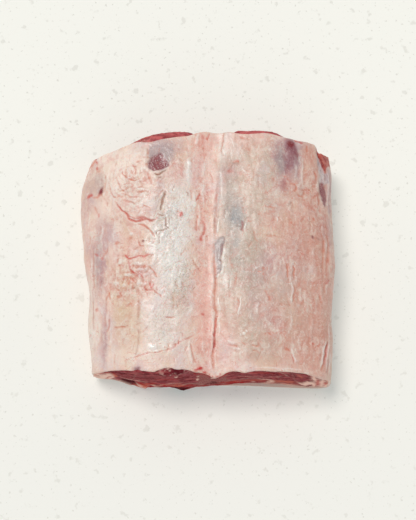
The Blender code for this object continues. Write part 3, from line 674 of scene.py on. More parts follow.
# %% Spots of blood, meat and fat on the cover
SPOTS = (
    ("dark_blood", 0.65, 8.7, -8.6, 1, 1.3, 0, -0.4), ("bruise", 0.9, 9.2, -15.2, 1.3, 1.6, 0, -0.3),
    ("plum", 0.45, 4.2, -1.6, 1, 0.9, 0, 0), ("bruise", 0.5, 6.6, -8, 0.9, 1.6, 0, 0),
    ("dark_blood", 0.9, -47.3, 5.3, 1, 1, 0, -0.4), ("blood", 0.9, -19.2, 25.2, 1.9, 2.6, -30, 0.3),
    ("membrane_and_sheen", 0.8, -18.4, 24, 0.9, 1, 0, 0), ("blood", 0.85, -59.6, -4.6, 1.1, 1.6, 20, 0.2),
    ("blood", 0.8, -53.6, -17, 1.6, 1.1, -15, 0.25), ("blood", 0.75, -3, -48, 1.4, 1.3, 0, 0),
    ("blood", 0.7, -0.3, -59, 1, 0.9, 0, 0), ("blood", 0.4, 2, -58.6, 0.7, 1.6, 0, 0),
    ("blood", 0.6, -4.8, 7.6, 1.7, 1.7, 0, 0), ("blood", 0.7, -0.3, 43.8, 0.9, 1.1, 0, 0),
    ("dark_blood", 1, -79.6, 49.4, 2.2, 3.4, 0, 0), ("blood", 0.5, -80, 47.6, 2.4, 2, 0, 0),
    ("blood", 0.8, -83.7, 73, 1.2, 1.3, 0, 0.2), ("blood", 0.85, -83.3, 68.6, 1.3, 1.5, 0, 0.2),
    ("dark_blood", 0.6, -84.2, 76, 1, 1, 0, 0), ("blood", 0.5, -81.8, -39.4, 1.1, 1.7, 0, 0),
    ("blood", 0.45, -86.9, -65, 1, 1.3, 0, 0), ("blood", 0.4, -86.4, -57.5, 1, 1.4, 0, 0),
    ("blood", 0.5, -77, -3.6, 1.3, 1.6, 0, 0), ("rust", 0.85, 78.8, 25.4, 1.3, 1.4, 0, 0),
    ("dark_blood", 0.75, 77.5, 11.5, 1.3, 1.3, 0, 0), ("blood", 0.7, 77.3, -67.8, 1.4, 1, 0, 0),
    ("blood", 0.45, 70.5, -3.4, 1.2, 1.2, 0, 0), ("blood", 0.35, 52.6, -58.4, 1.3, 1.4, 0, 0),
    ("rust", 0.5, 61.8, 20, 1.3, 1.3, 0, 0), ("rust", 0.45, 68.6, -38, 2.4, 1.8, 20, 0),
    ("rust", 0.4, 58.4, -12.6, 2, 2.4, 0, -0.2), ("blood", 0.3, 24, 58, 3, 2, 0, 0),
    ("blood", 0.3, 16.6, 59.6, 3, 1.8, 0, 0), ("rust", 0.4, 43.6, 42.6, 1.6, 2, 0, 0),
    ("rust", 0.5, -66, 6.6, 2.2, 2, 0, -0.3), ("rust", 0.45, -57, 8.4, 2.2, 1.6, 0, -0.3),
    # white on the nodules of the vein area: membrane, partly painted highlight
    ("membrane_and_sheen", 0.7, -56.4, 11.4, 2, 1.8, 0, 0.5), ("membrane_and_sheen", 0.6, -64.4, -8, 1.8, 2.6, 0, 0.5),
    ("membrane_and_sheen", 0.6, -57.4, -18.4, 2.6, 1.4, 0, 0.5), ("membrane_and_sheen", 0.5, -60.4, -25.4, 1.6, 1.6, 0, 0.5),
    ("membrane_and_sheen", 0.5, -66.4, -23, 3, 1.6, 0, 0.5), ("membrane_and_sheen", 0.5, -49.4, -25.6, 2, 2.4, 0, 0.4),
    ("membrane_and_sheen", 0.5, -50, -10.6, 3.4, 2, 0, 0.4), ("membrane_and_sheen", 0.5, -46, 5.6, 1.2, 1, 0, 0.4),
    ("rust", 0.45, -59.6, -20.6, 2.2, 1.6, 0, -0.3), ("rust", 0.4, -63.6, -33, 2.6, 1.4, 0, -0.3),
    ("clot", 1, -5.6, -86.6, 2.8, 1.5, 18, 0.6), ("clot", 0.9, -8.4, -87.8, 2, 0.9, 0, 0.4),
    ("clot", 0.9, -1.6, -89, 2.4, 0.7, 0, 0.3), ("clot", 0.8, 1, -90.6, 1, 0.7, 0, 0.2),
    ("clot", 0.8, 3.4, -92, 1.2, 0.7, 0, 0.2), ("clot", 0.8, 9.6, -91.4, 0.8, 0.9, 0, 0.2),
    ("clot", 0.7, 7.6, -92.4, 1.4, 0.7, 0, 0.2), ("clot", 0.6, -12.4, -88.4, 1, 0.5, 0, 0.2),
    ("clot", 0.7, 70.4, 83.6, 1.6, 0.7, 0, 0), ("clot", 0.7, -84, 76.4, 0.9, 0.8, 0, 0),
    ("plum", 0.8, -50, -86.8, 3.2, 1.3, 0, 0), ("dark_blood", 0.9, 62, 82, 3.2, 3.4, 0, 0),
    ("plum", 0.6, 64.6, 77, 3, 4.5, 0, 0), ("ridge", 0.7, 26, -61.6, 1.2, 1.4, 0, 0.3),
    ("ridge", 0.6, 24, -62.4, 0.8, 1, 0, 0.2), ("ridge", 0.6, 28, -60, 0.8, 0.9, 0, 0.2),
    ("ridge", 0.6, 28.2, -64.6, 0.9, 0.8, 0, 0.2), ("ridge", 0.7, -40, -71.6, 2.6, 1.5, 0, 0.3),
    ("ridge", 0.7, -37.4, -74.4, 1.6, 0.9, 0, 0.3), ("ridge", 0.5, -18, -18.6, 1.6, 0.8, 0, 0.3),
)
print(len(LEFT_LINES) + len(RIGHT_LINES), "lines and", len(SPOTS), "spots")

# %% [markdown]
# ## The relief of the cover
# Layers of relief are added as heights along the normal: broad lumps, the swollen fat of the far left, fine
# wrinkles whose strength changes from place to place, and the lines and spots. The meat window and the slit
# are real openings in the fat, so they are pressed in with a ragged rim.

# %% Wrinkle strength and special places
CRINKLE = (
    # strength, x, y, half sizes: how wrinkled the fat is
    (0.9, -30, 20, 20, 40), (1, -54, -14, 18, 26), (0.6, -52, 45, 22, 34), (0.4, -30, -60, 24, 30),
    (0.7, -22, -26, 12, 24), (0.6, -22, 68, 14, 22), (0.35, 40, -50, 36, 40), (0.35, 24, 40, 16, 50),
    (0.45, -6, 20, 8, 80), (0.42, 70, 10, 26, 60), (0.25, -78, 0, 14, 80),
)
PATCHES = (
    # layer, strength, softness, height, corners of the outline
    ("veil", 0.85, 0.6, -0.3, ((-43.2, 60), (-43.2, 68), (-43.4, 77), (-41.4, 79), (-36, 79.4), (-32, 78),
        (-29, 74), (-28.4, 68), (-29, 64), (-34, 60), (-40, 59))),
    ("veil", 0.6, 2.2, 0, ((-43.2, 70), (-43.4, 80), (-39, 84), (-32, 84.6), (-26, 82), (-24.5, 76),
        (-26, 69), (-30, 64))),
    ("mauve", 0.40, 2.4, 0, ((-86, 63), (-81.5, 65), (-78.4, 62), (-78.2, 55), (-78.8, 48), (-83, 48.5),
        (-86.5, 54))),
    ("meat", 1, 0.7, 0.3, ((82, 92), (99, 90), (99, 74), (95, 72), (91.4, 70.6), (89.6, 68.6), (88.2, 65),
        (86.9, 67), (85.6, 70.5), (84, 74), (82.6, 78))),
    ("silver", 0.8, 0.8, 0.2, ((82.6, 77), (84.2, 73.5), (86, 69.6), (88, 64.6), (91.2, 67), (91, 58),
        (88.8, 55.4), (84.2, 56.4), (83.5, 64), (82.8, 72))),
    ("plum", 0.95, 0.8, -0.3, ((84.2, 55.6), (86.4, 56.6), (88.4, 55), (89.6, 50), (89.2, 43.5), (88, 37),
        (86.6, 38.2), (85.2, 44), (84, 50.5))),
    ("mauve", 0.7, 1.4, 0, ((89.6, 72), (94, 68), (94.4, 50), (92.6, 32), (89.6, 34), (90.4, 50), (90, 62))),
    ("mauve", 0.6, 4, 0, ((49, 84), (56, 86), (68, 84), (70, 74), (68, 62), (60, 56), (52, 62), (48, 72))),
    ("salmon", 0.5, 3, 0, ((70, 80), (83, 78), (83, 40), (92, 20), (93, -60), (70, -84), (64, -40),
        (66, 20))),
)
FOLDS = (
    # width, height, points: the side to the left of the way it runs stands higher
    (1.3, 0.55, ((3.6, -80), (4.6, -70), (5.6, -56), (5.4, -42), (5.3, -25), (4.4, -8), (4.4, 6))),
    (1.3, 0.3, ((4.6, 2), (5.2, 12), (6.2, 34), (7.3, 56))),
    (1, 0.5, ((-29, 66), (-30.6, 62), (-34, 59.4), (-37, 56.6))),
    (0.9, 0.7, ((-44.6, 58), (-44.4, 64), (-44.6, 72), (-45.2, 80))),
    (1.2, 0.6, ((14, 96), (12, 84), (11, 72))),
)
STROKES = (
    # how many, x from and to, y from and to, mean turn from lengthwise in degrees, lengths in millimetres
    (30, 10, 60, -84, 84, 6, 4, 11), (20, 58, 90, -84, 70, 2, 5, 15), (26, -66, -40, 22, 76, 75, 3, 8),
    (30, -66, -38, -36, 10, 50, 2, 6), (30, -38, -10, -84, 80, 8, 3, 9), (22, -66, -14, -84, -36, 60, 3, 8),
    (18, -14, 4, -80, 88, 0, 5, 14), (22, -90, -68, -80, 60, 0, 6, 18),
)
LIVELY = (
    # strength, x, y, half sizes: how blotchy the fat is
    (0.85, -54, 46, 22, 30), (0.9, -54, -14, 16, 24), (0.7, -24, 66, 12, 16), (0.7, -2, 20, 9, 70),
    (0.8, 78, 44, 12, 26), (0.7, 76, -18, 18, 34), (0.6, 50, 30, 22, 26), (0.55, 40, -58, 34, 24),
    (0.7, -84, 70, 10, 10), (0.6, 84, -66, 8, 22), (0.5, -20, -64, 18, 20),
)
WINDOW = (
    (-42.8, 60.6), (-43, 66), (-42.2, 69.5), (-40, 71), (-37.5, 72.2), (-34.5, 72.4), (-32.6, 70),
    (-31.2, 67.5), (-29.2, 64.6), (-29.6, 63.2), (-31.5, 62.4), (-34, 60.8), (-36, 59.6), (-39, 59.4),
    (-41.4, 60),
)
SLIT = (
    (10.8, 9.6), (8.4, 9), (6.3, 7.5), (4.9, 4.3), (5.4, 1.7), (3.9, -1.5), (5.4, -4.1), (5.6, -9.9),
    (6.6, -12.5), (6.3, -16.3), (7.3, -18.2), (9.4, -17), (10.2, -13.1), (9.5, -9.9), (9.5, -6), (11, 0.4),
    (12.2, 4.6), (12.2, 8.1),
)
LIP_X, LIP_SLANT = 84.1, 0.042
print(len(PATCHES), "patches,", len(FOLDS), "folds,", sum(kind[0] for kind in STROKES), "small strokes")

# %% Paint the cover
LINE_STRENGTH = {"ridge": 0.65, "rust": 0.95, "membrane_and_sheen": 0.6, "umber": 1.0, "blood": 1.25}
TINT_REACH = 1.25
LEAST_CRINKLE, LEAST_COMB = 0.18, 0.12
STROKE_SEED = 7
# the pale ridge strokes are partly painted highlights
STROKE_KINDS = (("ridge", 0.28), ("rust", -0.26), ("rust", -0.2), ("ridge", 0.2))
flat_x, flat_y = body[..., 0].ravel(), body[..., 1].ravel()
solid = body.reshape(-1, 3)
upper = ease(0.02, 0.2, np.sin(angle_grid)).ravel()
cover = Surface(flat_x, flat_y, solid, upper)
for layer, strength, x, y, half_x, half_y, turn in TINTS:
    cover.spot(layer, strength, x, y, half_x * TINT_REACH, half_y * TINT_REACH, turn, 0.0, 0.15)
for layer, strength, soft, height, corners in PATCHES:
    cover.patch(layer, strength, soft, height, corners)
for layer, strength, width, height, points in LEFT_LINES + RIGHT_LINES:
    cover.line(layer, strength * LINE_STRENGTH.get(layer, 1.0), 0.8 * width, height, points)
chance = np.random.default_rng(STROKE_SEED)
for count, x_low, x_high, y_low, y_high, turn, short, long in STROKES:
    calm = 0.8 if x_low > 8 else 1.0
    for k in range(count):
        middle = np.array((chance.uniform(x_low, x_high), chance.uniform(y_low, y_high)))
        a = math.radians(turn + chance.normal(0, 18) + (180 if k % 2 else 0))
        size, bend = chance.uniform(short, long), chance.normal(0, 0.14)
        way, across = np.array((math.sin(a), math.cos(a))), np.array((math.cos(a), -math.sin(a)))
        stops = (-0.5, -0.2, 0.1, 0.5)
        points = [middle + size * (t * way + bend * (0.25 - t * t) * 2 * across) for t in stops]
        layer, height = STROKE_KINDS[k % len(STROKE_KINDS)]
        paint, half_width = calm * chance.uniform(0.12, 0.42), chance.uniform(0.35, 0.75)
        cover.line(layer, paint, half_width, calm * height, points)
for width, height, points in FOLDS:
    cover.fold(width, height, points)
for layer, strength, x, y, half_x, half_y, turn, height in SPOTS:
    cover.spot(layer, strength, x, y, half_x, half_y, turn, height, 0.45)


def strongest(level, areas, mask=1.0):
    """The largest of a level and, for every area, its strength times a bell over its ellipse."""
    for strength, x, y, half_x, half_y in areas:
        radius = np.hypot((flat_x - x) / half_x, (flat_y - y) / half_y)
        level = np.maximum(level, strength * bell(radius, 1.0) * mask)
    return level


crinkle = strongest(np.full(len(flat_x), LEAST_CRINKLE), CRINKLE, upper)
print({name: round(float(paint.mean()), 3) for name, paint in cover.layers.items()})

# %% Add up the relief
WRINKLE_MEAN, RELIEF_MEAN, WINDOW_DEPTH, SLIT_DEPTH = 0.45, 0.45, 0.8, 0.5


def cover_relief():
    """Lumps + swollen fat + wrinkles times their strength + streaks on the flanks, in millimetres."""
    lumps = 0.55 * noise(solid, 21.0, 1) + 0.35 * noise(solid, 9.5, 2) + 0.16 * noise(solid, 4.6, 3)
    swollen = 1.5 * (1.0 - ease(0.72, 1.04, np.hypot((flat_x + 53) / 21, (flat_y - 48) / 31)))
    pads = 0.7 * (1.0 - ease(0.6, 1.1, np.hypot((flat_x + 56) / 14, (flat_y + 20) / 18)))
    fine = 0.50 * (wrinkles(solid, (3.0, 3.8, 3.4), 10) - WRINKLE_MEAN)
    finest = 0.34 * (wrinkles(solid, 2.0, 11) - WRINKLE_MEAN)
    middling = 0.42 * (wrinkles(solid, (5.4, 7.6, 6.0), 12) - WRINKLE_MEAN)
    swirl_gap = np.hypot(flat_x + 57, flat_y - 60)
    wander = 3.4 * noise(solid, 9.0, 14) + 1.2 * noise(solid, 4.0, 16)
    rings = 1.0 - np.abs(np.sin(0.5 * (swirl_gap * 1.55 + wander)))
    swirl = 0.4 * rings * bell(np.hypot((flat_x + 55) / 20, (flat_y - 52) / 24), 1.0)
    streaks = 0.22 * noise(solid, (1.9, 20.0, 2.6), 15) * ease(58, 74, np.abs(flat_x))
    fibres = 0.16 * noise(warped(solid, 2.0, 12.0, 18), (1.6, 13.0, 3.0), 19) * ease(-8, 12, flat_x)
    knobbly = bell(np.hypot((flat_x + 56) / 14, (flat_y + 22) / 14), 1.0)
    nodules = 0.7 * (1 - np.abs(noise(solid, 3.4, 17))) ** 2 * knobbly
    soft = upper * (swollen + pads + nodules - swirl)
    return lumps + soft + crinkle * (fine + finest + middling) + streaks + fibres


window = inside(cover.places + 0.9 * noise(solid, 2.2, 91)[:, None], WINDOW, 1.1) * upper
slit = inside(cover.places, SLIT, 1.0) * upper
relief = cover.relief + cover_relief() - RELIEF_MEAN - WINDOW_DEPTH * window - SLIT_DEPTH * slit
print("relief from", relief.min().round(2), "to", relief.max().round(2), "mm")

# %% [markdown]
# ## Seams between the layers
# At the far right the cover stops in a lip, and the flank's lean lies lower beside it. Underneath, the two
# folded flanks meet in a seam. Both are drops straight down or up, not along the normal.

# %% Step and seam
LIP_DROP, SEAM_DEPTH, SEAM_HALF_WIDTH, RELIEF_MOST = 3.2, 4.0, 5.0, 2.6


def flank_step(x, y, angle):
    """Drop below the lip: eases in over a millimetre at the lip and out again by the foot of the side."""
    above_foot = ease(math.radians(3), math.radians(26), angle)
    lip = LIP_X - LIP_SLANT * (y - 36)
    return LIP_DROP * ease(lip - 0.6, lip + 1.4, x) * ease(34, 50, y) * above_foot


def blurred(values, across, along):
    """The mean of a grid over a box of (2 across + 1) columns, closed round, by (2 along + 1) rows."""
    total = sum(np.roll(values, k, axis=1) for k in range(-across, across + 1)) / (2 * across + 1)
    edged = np.pad(total, ((along, along), (0, 0)), mode="edge")
    return sum(edged[k:k + len(values)] for k in range(2 * along + 1)) / (2 * along + 1)


relief_grid = relief.reshape(ROWS, COLUMNS)
unevenness = (relief_grid - blurred(relief_grid, 3, 3)).ravel()
plain = 1.0 - np.clip(4.0 * window + 4.0 * slit + cover.layers["veil"] + cover.layers["meat"], 0, 1)
# Painted shade in the small hollows of the relief and a painted highlight on its crests, kept off the
# openings
cover.layers["hollow_shade"] = ease(0.04, 0.42, -unevenness) * plain
cover.layers["crest_highlight"] = ease(0.06, 0.40, unevenness) * plain
flank_angle = angle_grid.ravel()
drop = np.where(flat_x > 60, flank_step(cover.places[:, 0], flat_y, flank_angle), 0.0)
seam = SEAM_DEPTH * bell(flat_x + 2.0 * noise(solid, 30.0, 20), SEAM_HALF_WIDTH)
seam = np.where(np.sin(flank_angle) < 0, seam, 0.0)
cover_points = body + normals * np.minimum(relief, RELIEF_MOST).reshape(ROWS, COLUMNS, 1)
cover_points[..., 2] += (seam - drop).reshape(ROWS, COLUMNS)
cover_points[..., 2] = np.maximum(cover_points[..., 2], 0.0)
print("cover spans", cover_points.min(axis=(0, 1)).round(1), cover_points.max(axis=(0, 1)).round(1))

# %% [markdown]
# ## The knife edge of the fat
# A cut through fat is not sharp: the skin turns over a small radius and shows a few millimetres of pale cut
# fat before the lean begins. Rings of vertices are added beyond each end, first round the edge, then
# inwards, then back into the meat, where one middle point closes the skin.

# %% Rims and caps
EDGE_RADIUS = 0.8
FAT_DEPTH = 1.1
POCKET_DEPTH = 7.0


def rim_rings(edge, outward, direction):
    """Rings past an end: a quarter circle of EDGE_RADIUS, the cut fat, and a wall back into the meat."""
    inward = -outward * np.array([1.0, 0.0, 1.0])
    inward /= np.linalg.norm(inward, axis=-1, keepdims=True)
    forward = np.array([0.0, direction, 0.0])
    rings = [edge + inward * EDGE_RADIUS * (1 - math.cos(t)) + forward * EDGE_RADIUS * math.sin(t)
             for t in np.radians((30, 60, 90))]
    face = rings[-1]
    rings.append(face + inward * 0.5 * FAT_DEPTH + forward * 0.15 * noise(edge, 2.0, 30)[:, None])
    rings.append(face + inward * FAT_DEPTH - forward * 0.3)
    rings.append(face + inward * (FAT_DEPTH + 0.6) - forward * POCKET_DEPTH)
    return rings


near_rings = rim_rings(cover_points[0], normals[0], -1.0)
far_rings = rim_rings(cover_points[-1], normals[-1], 1.0)
skin = np.stack(near_rings[::-1] + list(cover_points) + far_rings)
skin[..., 2] = np.maximum(skin[..., 2], 0.0)
middles = [skin[0].mean(axis=0), skin[-1].mean(axis=0)]
cover_vertices = np.concatenate((skin.reshape(-1, 3), middles))


def tube_faces(rings, columns_round):
    """Quads between neighbouring rings, closed round, and a fan to a middle point at each end."""
    index = np.arange(rings * columns_round).reshape(rings, columns_round)
    follow = np.roll(index, -1, axis=1)
    quads = np.stack((index[:-1], index[1:], follow[1:], follow[:-1]), axis=-1).reshape(-1, 4)
    first, last = rings * columns_round, rings * columns_round + 1
    near_fan = np.stack((index[0], follow[0], np.full(columns_round, first)), axis=-1)
    far_fan = np.stack((follow[-1], index[-1], np.full(columns_round, last)), axis=-1)
    return quads, np.concatenate((near_fan, far_fan))


# %% [markdown]
# ## From arrays to a mesh
# One helper takes the vertices in millimetres, the faces and the layers of paint. A signed volume tells
# whether the faces point outwards, so a wrong turn is caught and mended at once.

# %% Mesh helper
def make_piece(name, vertices, quads, triangles=(), layers=None):
    """A smooth mesh object at the origin: faces turned outwards, each layer stored as a vertex attribute."""
    vertices, quads = np.asarray(vertices), np.asarray(quads)
    triangles = np.asarray(triangles, int).reshape(-1, 3)
    a, b, c, d = (vertices[quads[:, k]] for k in range(4))
    volume = np.einsum("ij,ij->i", a, np.cross(b, c)).sum() + np.einsum("ij,ij->i", a, np.cross(c, d)).sum()
    if volume < 0:
        quads, triangles = quads[:, ::-1], triangles[:, ::-1]
    mesh = bpy.data.meshes.new(name)
    mesh.from_pydata((vertices * MM).tolist(), [], quads.tolist() + triangles.tolist())
    mesh.shade_smooth()
    for layer, paint in (layers or {}).items():
        attribute = mesh.attributes.new(layer, "FLOAT", "POINT")
        attribute.data.foreach_set("value", np.asarray(paint, np.float32))
    piece = bpy.data.objects.new(name, mesh)
    bpy.context.scene.collection.objects.link(piece)
    print(name, len(quads) * 2 + len(triangles), "triangles, volume", round(abs(volume) / 6000, 1), "ml")
    return piece


cover.layers["lean"] = window
cover.layers["slit"] = slit
cover.layers["crinkle"] = crinkle
LAYERS = (
    "veil", "meat", "silver", "rose", "salmon", "pearl", "straw", "mauve", "membrane_and_sheen", "bruise", "plum",
    "lean", "slit", "rust", "umber", "blood", "dark_blood", "ridge", "crinkle", "hollow_shade", "crest_highlight", "lively",
    "comb", "cream", "clot",
)
rings_before = len(near_rings)


def stretched(paint):
    """A layer repeated on the rings beyond each end, and on the two middle points."""
    grid = paint.reshape(ROWS, COLUMNS)
    near_end, far_end = np.repeat(grid[:1], rings_before, 0), np.repeat(grid[-1:], rings_before, 0)
    return np.concatenate((near_end.ravel(), grid.ravel(), far_end.ravel(), (0.0, 0.0)))


COMB = (
    # strength, x, y, half sizes: where the membrane is drawn into fine slanting pleats
    (1, -20, -24, 14, 24), (0.8, -30, 20, 16, 30), (0.6, -34, -54, 18, 20), (0.5, -54, 40, 20, 26),
    (0.4, -24, 66, 14, 16),
)
cover.layers["comb"] = strongest(np.full(len(flat_x), LEAST_COMB), COMB) * upper
lively = strongest(0.22 + 0.35 * noise(solid, 26.0, 95) + 0.5 * crinkle * upper, LIVELY)
cover.layers["lively"] = np.clip(lively, 0.05, 1.0)
cover_paint = {name: stretched(cover.layers.get(name, np.zeros(len(flat_x)))) for name in LAYERS}
cut_depth = np.zeros(skin.shape[:2])
cut_depth[:rings_before - 2] = cut_depth[-(rings_before - 2):] = 1.0
cover_paint["cut"] = np.concatenate((cut_depth.ravel(), (1.0, 1.0)))
cover_quads, cover_triangles = tube_faces(len(skin), COLUMNS)
fat_cover = make_piece("fat_cover", cover_vertices, cover_quads, cover_triangles, cover_paint)

# %% [markdown]
# ## The cut faces
# Each end is a slab of lean that fills the opening in the fat. Its front is a height field over the lens
# between the lower and the upper outline: it turns back under the fat all round, and the loins swell out
# where the muscle has relaxed after the cut.

# %% The lens and its front
FACE_COLUMNS, FACE_ROWS = 250, 72
NEAR_V, FAR_V = -0.985, 0.985
NEAR_INSET, FAR_INSET = 0.9, 1.5


def outline_at(v, x):
    """Upper and lower height of the section at v, for places across."""
    upper_half, lower_half = np.linspace(0, math.pi, 1500), np.linspace(-math.pi, 0, 1500)
    xs, zs = section(upper_half, v)
    top = np.interp(x, xs[::-1], zs[::-1])
    xs, zs = section(lower_half, v)
    return top, np.interp(x, xs, zs)


def lens_grid(v, inset, drop=0.0):
    """Places (x, z) across a cut face: columns from side to side, rows from lower to upper outline."""
    left, right = float(section(np.array(math.pi), v)[0]), float(section(np.array(0.0), v)[0])
    share = np.linspace(-1, 1, FACE_COLUMNS)
    share = np.sign(share) * (1 - (1 - np.abs(share)) ** 1.15)
    x = 0.5 * (left + right) + 0.5 * (right - left - 2 * inset) * share
    top, bottom = outline_at(v, x)
    middle = 0.5 * (top + bottom)
    top = top - drop * ease(LIP_X - 4.0, LIP_X - 1.6, x)
    top, bottom = np.maximum(top - inset, middle + 0.3), np.minimum(bottom + inset, middle - 0.3)
    h = np.linspace(0, 1, FACE_ROWS)[:, None]
    h = 0.5 - 0.5 * np.cos(math.pi * h) * (0.75 + 0.25 * np.abs(np.cos(math.pi * h)))
    return np.broadcast_to(x, (FACE_ROWS, FACE_COLUMNS)), bottom + (top - bottom) * h, top, bottom


def rounding(x, z, top, bottom, radius):
    """0 at the rim and 1 from `radius` inwards, along a quarter circle."""
    edge = np.minimum(np.minimum(top - z, z - bottom), 0.9 * (np.abs(x).max() - np.abs(x)) + 0.2)
    share = np.clip(edge / radius, 0.0, 1.0)
    return np.sqrt(np.clip(1.0 - (1.0 - share) ** 2, 0.0, 1.0))


near_x, near_z, near_top, near_bottom = lens_grid(NEAR_V, NEAR_INSET)
far_x, far_z, far_top, far_bottom = lens_grid(FAR_V, FAR_INSET, drop=4.0)
for label, x, z in (("near face", near_x, near_z), ("far face", far_x, far_z)):
    print(label, x.min().round(1), x.max().round(1), "z", z.min().round(1), z.max().round(1))

# %% [markdown]
# ## What a cut through the loins shows
# From the outside in: a rind of fat, the two big eyes of loin, the backbone between them with its upright
# spine, a small fillet under each side, and towards the flanks thin sheets of muscle between sheets of fat.
# The masks are worked out from places on the face; the listed lines add the seams that this cut has.

# %% Masks of a cut face
def oval(x, z, centre_x, centre_z, half_x, half_z, power=2.4):
    """A superellipse's fill: 1 well inside, 0 outside, from the sum of the powers of its shares."""
    across, up = np.abs((x - centre_x) / half_x), np.abs((z - centre_z) / half_z)
    return 1.0 - ease(0.9, 1.06, (across**power + up**power) ** (1 / power))


def cut_masks(x, z, top, places, rind):
    """Fat, bone and fillet over a cut face, for a face `top` high whose fat is `rind` thick."""
    shaken = warped(places, 1.6, 7.0, 40)
    x, z = x + shaken[..., 0] - places[..., 0], z + shaken[..., 2] - places[..., 2]
    depth, off_spine = top - z, np.abs(x - SPINE_X)
    rim = 1.0 - ease(rind * 0.7, rind * 1.25, depth)
    layers = np.sin((np.abs(x) - 70 + 0.35 * np.abs(z - 20)) * 2 * math.pi / 9.5)
    flank = ease(74, 79, np.abs(x)) * (0.45 + 0.5 * ease(0.35, 0.8, layers))
    seam_mid = 0.15 * bell(off_spine - 60 + 0.25 * (z - 24), 0.7) * ease(6, 12, z)
    fillets = oval(x, z, -22, 10, 15, 7.5) + oval(x, z, 30, 10, 15, 7.5)
    fillet_rim = bell(np.hypot((off_spine - 26) / 17.5, (z - 10) / 9.6) - 1.0, 0.09) * ease(2.5, 4.5, z)
    spine = bell(x - SPINE_X, 2.2) * ease(20, 24, z) * (1 - ease(top - 7, top - 3, z))
    body_bone = oval(x, z, SPINE_X, 15, 14, 10) * (1 - oval(x, z, SPINE_X, 24.5, 3.4, 3.0))
    cord = oval(x, z, SPINE_X, 24.5, 2.6, 2.2)
    wings = bell(z - 17.5 - 0.05 * off_spine, 1.5) * ease(10, 16, off_spine) * (1 - ease(30, 36, off_spine))
    wedge = 1 - ease(2.0, 4.6, np.abs(x - 5.5) + 0.16 * depth)
    chine = oval(x, z, -3.5, 32, 4.2, 18) + oval(x, z, 11.5, 30, 3.4, 16)
    bone = np.clip(spine + 0.8 * body_bone + wings + 0.75 * chine, 0, 1) * (1 - wedge)
    fat = np.clip(rim + flank + 0.8 * seam_mid + 0.75 * fillet_rim + wedge, 0, 1) * (1 - bone) + 0.8 * cord
    return {"fat": np.clip(fat, 0, 1), "bone": bone, "fillet": np.clip(fillets, 0, 1) * (1 - bone)}


def face_surface(x, z, front, top, rind):
    """A Surface over a cut face, with its anatomy as first layers."""
    places = np.stack((x, front, z), axis=-1)
    surface = Surface(x.ravel(), z.ravel(), places.reshape(-1, 3), np.ones(x.size))
    for name, paint in cut_masks(x, z, np.broadcast_to(top, x.shape), places, rind).items():
        surface.layers[name] = paint.ravel().copy()
    return surface


